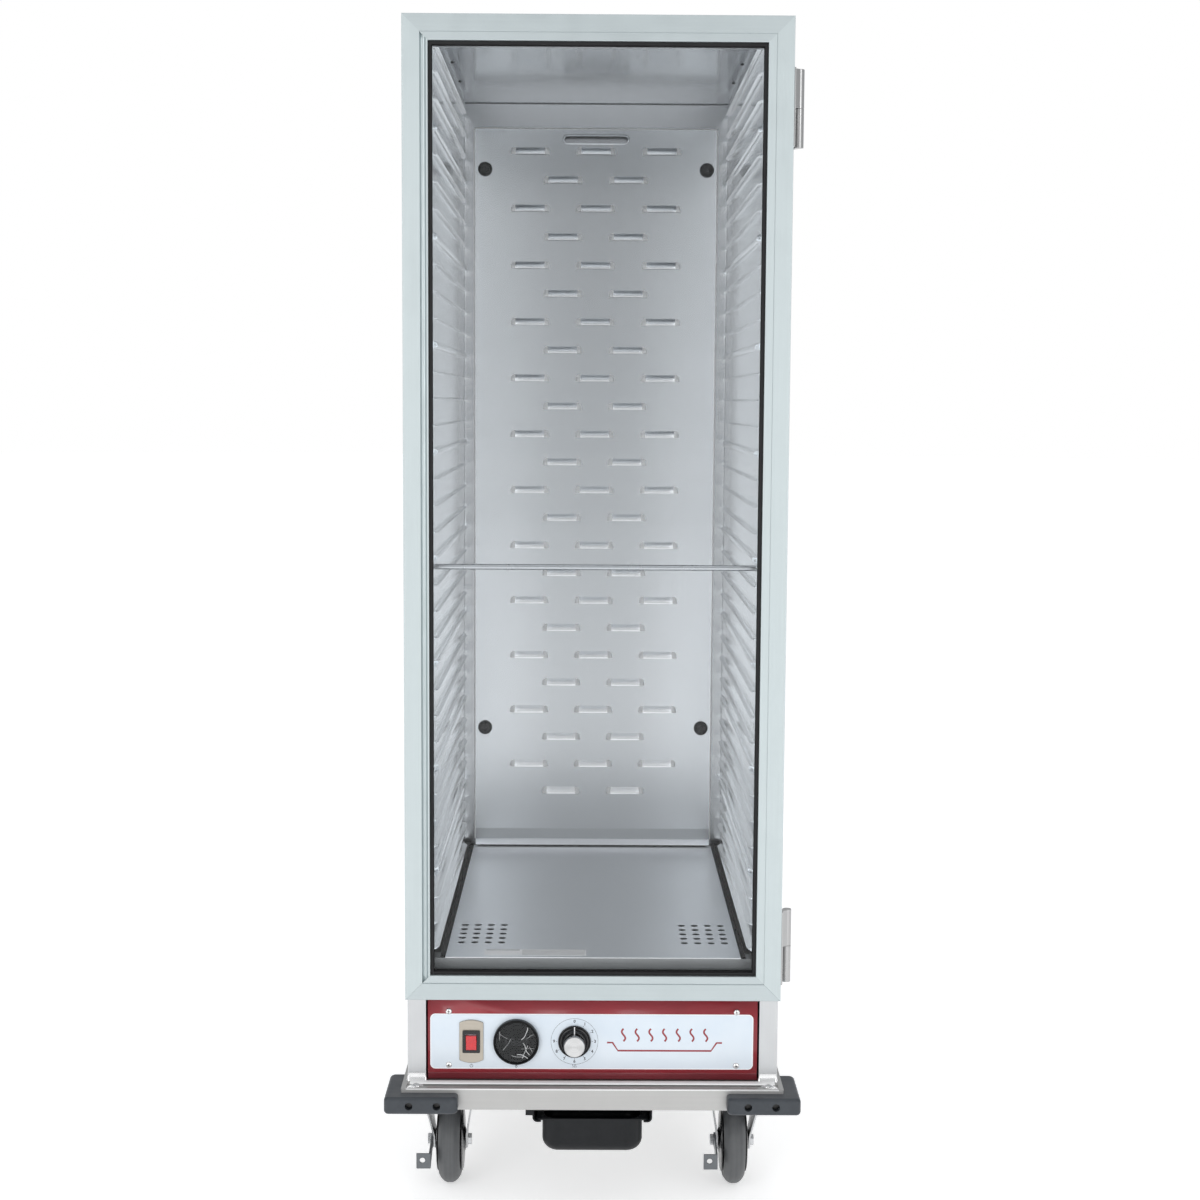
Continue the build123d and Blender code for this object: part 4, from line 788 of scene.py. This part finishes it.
def stroke(bm, points, width, y, thick=0.10 * MM):
    """Printed line of even width along points in x and z."""
    left, right = [], []
    for i, (x, z) in enumerate(points):
        before, after = points[max(i - 1, 0)], points[min(i + 1, len(points) - 1)]
        along = Vector((after[0] - before[0], after[1] - before[1])).normalized()
        left.append((x - along.y * width / 2, z + along.x * width / 2))
        right.append((x + along.y * width / 2, z - along.x * width / 2))
    sides = [[bm.verts.new((px, y - thick, pz)) for px, pz in line] for line in (left, right)]
    backs = [[bm.verts.new((px, y, pz)) for px, pz in line] for line in (left, right)]
    for i in range(len(points) - 1):
        bm.faces.new((sides[0][i], sides[0][i + 1], sides[1][i + 1], sides[1][i]))
        bm.faces.new((sides[0][i], sides[0][i + 1], backs[0][i + 1], backs[0][i]))
        bm.faces.new((sides[1][i], sides[1][i + 1], backs[1][i + 1], backs[1][i]))


def heat_wave(x, z, height, swing, steps=28):
    """Rising wavy line."""
    return [(x + swing * math.sin(2 * math.pi * i / steps), z + height * i / steps) for i in range(steps + 1)]


def overlay():
    """White field with a brighter border, dial scale and small pictograms in place of the lettering."""
    printed("overlay_border", rounded_rectangle(471.5 * MM, 82.5 * MM, 7.5 * MM), WHITE, 0.15 * MM)
    printed("overlay_field", rounded_rectangle(469.0 * MM, 80.0 * MM, 6.5 * MM), FIELD, PRINT)
    y = PANEL_FRONT - PRINT
    ink = bmesh.new()
    stroke(ink, arc((KNOB_X, LEVEL), DIAL_RADIUS, 0, 360, 96), 0.35 * MM, y)
    for step in range(1, 10):
        turn = math.radians(90 - 30 * step)
        tick = [(KNOB_X + r * math.cos(turn), LEVEL + r * math.sin(turn)) for r in (25.2 * MM, 27.0 * MM)]
        stroke(ink, tick, 0.5 * MM, y)
    # power, temperature and heat marks under the controls
    stroke(ink, arc((SWITCH_X, MARKS_LEVEL), 2.2 * MM, 125, 415, 30), 0.6 * MM, y)
    stroke(ink, [(SWITCH_X, MARKS_LEVEL + 0.4 * MM), (SWITCH_X, MARKS_LEVEL + 3.0 * MM)], 0.6 * MM, y)
    stroke(ink, arc((THERMOMETER_X, MARKS_LEVEL - 0.6 * MM), 1.5 * MM, 0, 360, 96), 0.6 * MM, y)
    stroke(ink, [(THERMOMETER_X, MARKS_LEVEL), (THERMOMETER_X, MARKS_LEVEL + 4.0 * MM)], 0.9 * MM, y)
    for shift in (-2.2, 0.0, 2.2):
        stroke(ink, heat_wave(KNOB_X + shift * MM, MARKS_LEVEL - 2.2 * MM, 5 * MM, 0.5 * MM), 0.55 * MM, y)
    place("overlay_print", ink, INK, "cabinet", weighted=False)
    # pan with rising heat, the generic mark at the right
    mark = bmesh.new()
    centre, half = 105 * MM, 76 * MM
    pan = [(centre - half - 8 * MM, 243 * MM), (centre - half, 243 * MM), (centre - half + 8 * MM, 231 * MM)]
    pan += [(-px + 2 * centre, pz) for px, pz in reversed(pan)]
    stroke(mark, pan, 2.6 * MM, y)
    for column in range(-3, 4):
        stroke(mark, heat_wave(centre + column * 20 * MM, 245 * MM, 19 * MM, 2.6 * MM), 2.6 * MM, y)
    place("overlay_mark", mark, RED, "cabinet", weighted=False)


def dial_numbers():
    """Numbers 0 to 9 round the knob, as raised print."""
    for number in range(10):
        turn = math.radians(90 - 30 * number)
        text = bpy.data.curves.new(f"dial_{number}", "FONT")
        text.body = str(number)
        text.size = 6.2 * MM
        text.extrude = 0.06 * MM
        text.offset = 0.14 * MM
        text.align_x, text.align_y = "CENTER", "CENTER"
        shape = bpy.data.objects.new(f"dial_{number}", text)
        bpy.context.scene.collection.objects.link(shape)
        bpy.context.view_layer.update()
        mesh = bpy.data.meshes.new_from_object(shape)
        bpy.data.objects.remove(shape)
        digit = bpy.data.objects.new(f"dial_number_{number}", mesh)
        mesh.materials.clear()
        mesh.materials.append(INK)
        digit.location = (
            KNOB_X + NUMBER_RADIUS * math.cos(turn),
            PANEL_FRONT - PRINT,
            LEVEL + NUMBER_RADIUS * math.sin(turn),
        )
        digit.rotation_euler = (math.pi / 2, 0, 0)
        bpy.context.scene.collection.objects.link(digit)
        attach(digit, "cabinet")


def knob():
    """Black skirted knob with a fluted grip, a white pointer and a spun cap."""
    origin = (KNOB_X, PANEL_FRONT, LEVEL)
    bm = bmesh.new()
    skirt = [(0.7, 3.0), (0.7, 22.6), (1.1, 23.8), (2.2, 24.0), (3.2, 23.6), (3.6, 22.8), (3.2, 22.0)]
    skirt += [(2.6, 21.0), (2.7, 19.8), (3.6, 18.6), (5.4, 17.4), (7.4, 16.6), (8.8, 16.2), (9.4, 15.6)]
    skirt += [(9.6, 14.7)]
    lathe(bm, mm(skirt), origin, FORWARD, 96)
    flutes, steps = 22, 176
    rings = []
    for along, grow in ((9.8, 0.0), (11.0, 1.0), (18.6, 1.0), (19.6, 0.4)):
        ring = []
        for step in range(steps):
            turn = 2 * math.pi * step / steps
            radius = (14.3 - 0.65 * grow * max(0.0, math.cos(flutes * turn)) ** 2) * MM
            ring.append(
                bm.verts.new((
                    KNOB_X + radius * math.sin(turn),
                    PANEL_FRONT - along * MM,
                    LEVEL + radius * math.cos(turn),
                ))
            )
        rings.append(ring)
    skin(bm, rings)
    lathe(bm, [(19.6 * MM, 14.3 * MM), (19.6 * MM, 0.0)], origin, FORWARD, 96)
    place("knob_skirt", bm, GLOSS_BLACK, "knob", ("knob",), 60)
    cap = bmesh.new()
    shell = [(19.2, 14.5), (19.2, 15.2), (26.6, 15.2), (27.5, 14.9), (28.0, 14.2), (27.85, 13.2), (27.7, 9.0)]
    shell += [(27.6, 4.0), (27.6, 0.0)]
    lathe(cap, mm(shell), origin, FORWARD, 96)
    place("knob_cap_spun", cap, CAP, "knob", ("knob_cap",), 40)
    pointer = bmesh.new()
    line = [(2.9, 23.3), (4.4, 20.2), (6.8, 17.6), (8.8, 16.6), (10.2, 14.75), (19.0, 14.75)]
    half, lift = 0.75 * MM, 0.15 * MM
    bent_strip(
        pointer, mm(line), lambda p, e: (KNOB_X + (2 * e - 1) * half, PANEL_FRONT - p[0] - lift, LEVEL + p[1])
    )
    place("knob_pointer", pointer, WHITE, "knob", weighted=False)


# heading, bearing and distance of each fold's start in the film, and its width
CREASES = (
    (0.55, 0.55, 9.0, 1.5), (0.75, 0.35, 16.0, 0.5), (2.6, 2.7, 14.0, 0.4), (-0.4, -1.9, 20.0, 0.7),
    (0.2, -1.5, 18.0, 1.6), (1.2, -1.2, 25.0, 1.1), (2.2, -0.75, 27.0, 1.3), (-1.0, -0.3, 20.0, 0.6),
    (0.9, -2.6, 22.0, 0.5), (1.9, 3.0, 24.0, 0.6), (0.1, -0.9, 12.0, 0.35),
)


def film_creases():
    """Folds in the film: thin broken ridges that fan out from its lower right edge, near-white as painted
    highlights along the folds.
    """
    chance = random.Random(5)
    ridges = bmesh.new()
    for heading, turn, reach, width in CREASES:
        x, z = reach * math.cos(turn), reach * math.sin(turn)
        points = []
        for _ in range(12):
            if math.hypot(x, z) > 29.3:
                break
            points.append((THERMOMETER_X + x * MM, LEVEL + z * MM))
            heading += chance.uniform(-0.22, 0.22)
            x, z = x + 1.9 * math.cos(heading), z + 1.9 * math.sin(heading)
        stroke(ridges, points, 0.62 * width * MM, PANEL_FRONT - 7.3 * MM, 0.2 * MM)
    place("thermometer_film_creases", ridges, CREASE_HIGHLIGHT, "cabinet", weighted=False)


def thermometer():
    """Black bezel, dark display face with faint segments, and a creased film over the lens."""
    origin = (THERMOMETER_X, PANEL_FRONT, LEVEL)
    bezel = bmesh.new()
    profile = [(0, 33.5), (6.4, 33.5), (7.6, 33.1), (8.0, 32.4), (7.9, 31.6), (7.0, 31.0), (5.8, 30.6)]
    profile += [(5.0, 30.0), (5.0, 0.0)]
    lathe(bezel, mm(profile), origin, FORWARD, 128)
    place("thermometer_bezel", bezel, LCD, "cabinet", ("thermometer",))
    digits = bmesh.new()
    height, width = 9.0 * MM, 5.2 * MM
    y = PANEL_FRONT - 5.0 * MM
    for column in (-1.5, -0.5, 0.5, 1.5):
        x = THERMOMETER_X + column * 8.4 * MM
        for level in (-1, 0, 1):
            z = LEVEL + level * height / 2
            stroke(digits, [(x - width / 2 + 0.7 * MM, z), (x + width / 2 - 0.7 * MM, z)], 1.1 * MM, y)
        for upright in (x - width / 2, x + width / 2):
            for z in (LEVEL - height / 2, LEVEL):
                stroke(digits, [(upright, z + 0.7 * MM), (upright, z + height / 2 - 0.7 * MM)], 1.1 * MM, y)
    place("thermometer_segments", digits, SEGMENTS, "cabinet", weighted=False)
    lens = bmesh.new()
    dome = [(6.6 + 0.7 * math.cos(math.pi / 2 * k / 20), 29.4 * k / 20) for k in range(20, -1, -1)]
    lathe(lens, mm(dome), origin, FORWARD, 128)
    place("thermometer_lens", lens, FILM, "cabinet")
    film_creases()


def panel_screws():
    """Domed screw heads with a dark cross recess."""
    low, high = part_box("panel_screws")
    radius = 4.6 * MM
    heads, slots = bmesh.new(), bmesh.new()
    dome = [(0.0, 4.6), (0.5, 4.6), (1.3, 4.1), (2.0, 3.1), (2.45, 1.8), (2.6, 0.0)]
    for x in (low.x + radius, high.x - radius):
        for z in (low.z + radius, high.z - radius):
            lathe(heads, mm(dome), (x, PANEL_FRONT, z), FORWARD, 48)
            for dx, dz in ((2.0, 0.45), (0.45, 2.0)):
                cross = rectangle(x, z, dx * MM, dz * MM)
                plate(slots, cross, PANEL_FRONT - 2.62 * MM, PANEL_FRONT - 1.8 * MM)
    place("panel_screw_heads", heads, POLISHED, "cabinet", ("panel_screws",))
    place("panel_screw_recesses", slots, DARK_STEEL, "cabinet", weighted=False)


def control_face():
    """Folded front of the heating module: flat face with its cut-outs and a turned-under lower edge."""
    low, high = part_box("control_panel")
    face_y, bend = PANEL_FRONT, 197.5 * MM
    half = high.x
    loops = [[(-half, bend), (half, bend), (half, high.z), (-half, high.z)]]
    loops.append(rectangle(SWITCH_X, LEVEL, 9.5 * MM, 13.5 * MM))
    loops.append(arc((THERMOMETER_X, LEVEL), 27 * MM, 0, 345, 23))
    loops.append(arc((KNOB_X, LEVEL), 5 * MM, 0, 330, 11))
    bm = bmesh.new()
    triangles = tessellate_polygon([[Vector((x, z, 0)) for x, z in loop] for loop in loops])
    corners = [bm.verts.new((x, face_y, z)) for loop in loops for x, z in loop]
    for triangle in triangles:
        bm.faces.new([corners[i] for i in triangle])
    cross_strip(bm, mm([(0, 0), (1.2, 0), (9.0, 0)]), half, face_y, high.z)
    piece = place("control_face", bm, RED, "cabinet", ("control_panel",), 40, False)
    skin = piece.modifiers.new("sheet", "SOLIDIFY")
    skin.thickness, skin.offset = 1.2 * MM, -1.0
    # the turned-under lower edge takes the darker red: painted shade where it faces down
    edge = bmesh.new()
    rise = bend - low.z
    section = [(0.0, rise), (0.5 * MM, rise - 1.2 * MM), (3.0 * MM, 1.2 * MM), (4.2 * MM, 0), (8.5 * MM, 0)]
    cross_strip(edge, section, half, face_y, low.z)
    hem = place("control_lower_edge", edge, SHADED_RED, "cabinet", angle=30, weighted=False)
    skin = hem.modifiers.new("sheet", "SOLIDIFY")
    skin.thickness, skin.offset = 1.0 * MM, -1.0


control_face()
overlay()
dial_numbers()
knob()
thermometer()
panel_screws()


# ---------------------------------------------------------------- welds, rivets and small screws
def post_welds():
    """Dressed weld flaring out round the foot of each front post."""
    for side in ("left", "right"):
        low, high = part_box(f"jamb_{side}")
        centre = (low + high) / 2
        half = (high.x - low.x) / 2
        bm = bmesh.new()
        rings = []
        for step in range(9):
            t = step / 8
            grow = 0.25 * MM + 2.1 * MM * (1 - t) ** 2.4
            outline = rounded_rectangle(2 * (half + grow), 2 * (half + grow), 2.2 * MM + grow, 5)
            level = low.z + 0.2 * MM + 12 * MM * t
            ring = []
            for i, (px, py) in enumerate(outline):
                ripple = 0.25 * MM * math.sin(i * 1.9 + step) * (1 - t)
                ring.append(bm.verts.new((centre.x + px, centre.y + py, level + ripple)))
            rings.append(ring)
        skin(bm, rings)
        place(f"post_weld_{side}", bm, WELD, "cabinet")


def post_caps():
    """Plain plates that close the tops of the front posts."""
    for side in ("left", "right"):
        low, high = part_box(f"jamb_{side}")
        centre = (low + high) / 2
        half = (high.x - low.x) / 2 - 0.6 * MM
        bm = bmesh.new()
        outline = rounded_rectangle(2 * half, 2 * half, 1.5 * MM, 4)
        rings = [
            [bm.verts.new((centre.x + x, centre.y + y, high.z - drop)) for x, y in outline]
            for drop in (1.6 * MM, 0.1 * MM)
        ]
        skin(bm, rings)
        bm.faces.new(rings[1])
        bm.faces.new(list(reversed(rings[0])))
        place(f"post_cap_{side}", bm, POST, "cabinet", weighted=False)


def base_lip():
    """Raised strip of the base top behind the drip groove, and the edge in front of it, both near-white:
    painted highlights.
    """
    low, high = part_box("base_frame")
    bm = bmesh.new()
    section = [(20.0, -0.1), (20.5, 1.0), (22.0, 1.7), (27.0, 2.0), (32.0, 1.7), (33.5, 0.8), (34.0, -0.1)]
    cross_strip(bm, mm(section), 266 * MM, low.y, high.z)
    place("base_lip", bm, HIGHLIGHT_STRIP, "cabinet", angle=60)
    rim = bmesh.new()
    section = [(-0.05, -1.5), (-0.08, -0.7), (0.3, 0.05), (1.0, 0.12), (1.8, 0.05)]
    cross_strip(rim, mm(section), 270 * MM, low.y, high.z)
    place("base_rim", rim, HIGHLIGHT_STRIP, "cabinet", angle=60)


def floor_label():
    """Blank rating label near the front left of the floor, with a plain bar and frame only."""
    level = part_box("floor_panel")[1].z
    for name, x, y, width, depth, lift, material in (
        ("floor_label", -85, -348.5, 150, 31, 0.15, WHITE),
        ("floor_label_bar", -132.5, -336.75, 49, 2.5, 0.20, INK),
        ("floor_label_field", -58, -348.5, 92, 27, 0.20, LABEL_GREY),
    ):
        bm = bmesh.new()
        size = Matrix.Diagonal((width * MM, depth * MM, lift * MM, 1.0))
        middle = Matrix.Translation((x * MM, y * MM, level + lift * MM / 2))
        bmesh.ops.create_cube(bm, size=1.0, matrix=middle @ size)
        place(name, bm, material, "cabinet", weighted=False)


def ceiling_seam():
    """Dark joint line where the ceiling meets the rear wall."""
    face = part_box("liner_back")[0].y
    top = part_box("liner_top")[0].z
    bm = bmesh.new()
    cross_strip(bm, mm([(-1.6, 0.05), (-0.9, -0.7), (-0.05, -1.6)]), 231 * MM, face, top)
    place("ceiling_seam", bm, SILL, "cabinet", weighted=False)


def corner_welds():
    """Rough weld where the drip groove meets the foot of each post."""
    low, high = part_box("base_frame")
    bm = bmesh.new()
    for side in (-1, 1):
        centre = Vector((side * 258 * MM, low.y + 15 * MM, high.z - 2.2 * MM))
        made = bmesh.ops.create_icosphere(bm, subdivisions=4, radius=1.0)["verts"]
        for vert in made:
            x, y, z = vert.co
            wobble = 1 + 0.16 * math.sin(5 * x + 2 * z) * math.cos(4 * y - 1.3)
            wobble += 0.07 * math.sin(11 * x - 9 * y)
            vert.co = centre + Vector((x * 11 * side, (y * 6.5 - 2.5 * x), z * 4.2)) * MM * wobble
    place("corner_welds", bm, WELD, "cabinet", angle=180, weighted=False)


def domed_heads(name, spots, axis, radius, height, material, body):
    """Small domed rivet or screw heads."""
    bm = bmesh.new()
    profile = [(height * math.sin(a), radius * math.cos(a)) for a in [math.pi / 2 * k / 6 for k in range(6)]]
    profile.append((height, 0.0))
    for spot in spots:
        lathe(bm, profile, spot, axis, 32)
    place(name, bm, material, body)


post_welds()
post_caps()
base_lip()
corner_welds()
floor_label()
ceiling_seam()
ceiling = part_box("liner_top")[0].z
domed_heads(
    "ceiling_screws",
    [(side * 224 * MM, y * MM, ceiling) for side in (-1, 1) for y in (-58, 126)],
    (0, 0, -1), 3.2 * MM, 1.8 * MM, DARK_STEEL, "cabinet",
)
door_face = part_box("stile_left")[0].y
domed_heads(
    "catch_rivets",
    [(-252 * MM, door_face + 0.05 * MM, z * MM) for z in (1559, 1607)],
    FORWARD, 1.6 * MM, 0.05 * MM, POLISHED, "door",
)


# ---------------------------------------------------------------- stage, light and camera
def floor_stage():
    bm = bmesh.new()
    bmesh.ops.create_circle(bm, cap_ends=True, radius=40.0, segments=128)
    mesh = bpy.data.meshes.new("studio_floor")
    bm.to_mesh(mesh)
    bm.free()
    paper = Finish(
        "studio_paper", (0.93, 0.93, 0.93), 0.85, Emission_Color=(1.0, 1.0, 1.0, 1.0), Emission_Strength=0.47
    )
    paper.tint(paper.noise(6, detail=3.0), (0.91, 0.91, 0.91), 0.5)
    mesh.materials.append(paper.material)
    floor = bpy.data.objects.new("studio_floor", mesh)
    bpy.context.scene.collection.objects.link(floor)


def studio_world():
    """White to the eye, and for light an even, slightly cool grey-white dome."""
    world = bpy.data.worlds.new("studio")
    bpy.context.scene.world = world
    world.use_nodes = True
    nodes, links = world.node_tree.nodes, world.node_tree.links
    background = nodes["Background"]
    background.inputs["Color"].default_value = (0.97, 0.985, 1.0, 1.0)
    background.inputs["Strength"].default_value = 0.62
    eye = nodes.new("ShaderNodeBackground")
    eye.inputs["Color"].default_value = (1.0, 1.0, 1.0, 1.0)
    path = nodes.new("ShaderNodeLightPath")
    mix = nodes.new("ShaderNodeMixShader")
    links.new(path.outputs["Is Camera Ray"], mix.inputs["Fac"])
    links.new(background.outputs["Background"], mix.inputs[1])
    links.new(eye.outputs["Background"], mix.inputs[2])
    links.new(mix.outputs["Shader"], nodes["World Output"].inputs["Surface"])


def softbox(name, position, target, width, height, power):
    light = bpy.data.lights.new(name, "AREA")
    light.shape = "RECTANGLE"
    light.size, light.size_y = width, height
    light.energy = power
    lamp = bpy.data.objects.new(name, light)
    lamp.location = position
    lamp.rotation_euler = (Vector(target) - Vector(position)).to_track_quat("-Z", "Y").to_euler()
    bpy.context.scene.collection.objects.link(lamp)


def camera():
    """Eye-level view from in front, a little above the middle of the door."""
    lens = bpy.data.cameras.new("camera")
    lens.sensor_width = 36.0
    lens.lens = 59.45
    eye = bpy.data.objects.new("camera", lens)
    eye.location = (-10.3 * MM, -3188.9 * MM, 1176.2 * MM)
    yaw, pitch, roll = (math.radians(a) for a in (0.351, 5.754, 0.338))
    turn = Matrix.Rotation(-yaw, 3, "Z") @ Matrix.Rotation(math.pi / 2 - pitch, 3, "X")
    eye.rotation_euler = (turn @ Matrix.Rotation(roll, 3, "Z")).to_euler()
    bpy.context.scene.collection.objects.link(eye)
    bpy.context.scene.camera = eye


floor_stage()
studio_world()
softbox("key_left", (-1.9, -3.6, 1.7), (0, 0.1, 0.95), 1.4, 2.6, 30)
softbox("key_right", (1.9, -3.6, 1.5), (0, 0.1, 0.95), 1.4, 2.6, 26)
softbox("top", (0.0, -0.6, 4.2), (0, -0.2, 0.8), 3.0, 2.4, 18)
camera()
bpy.context.scene.view_settings.view_transform = "Standard"
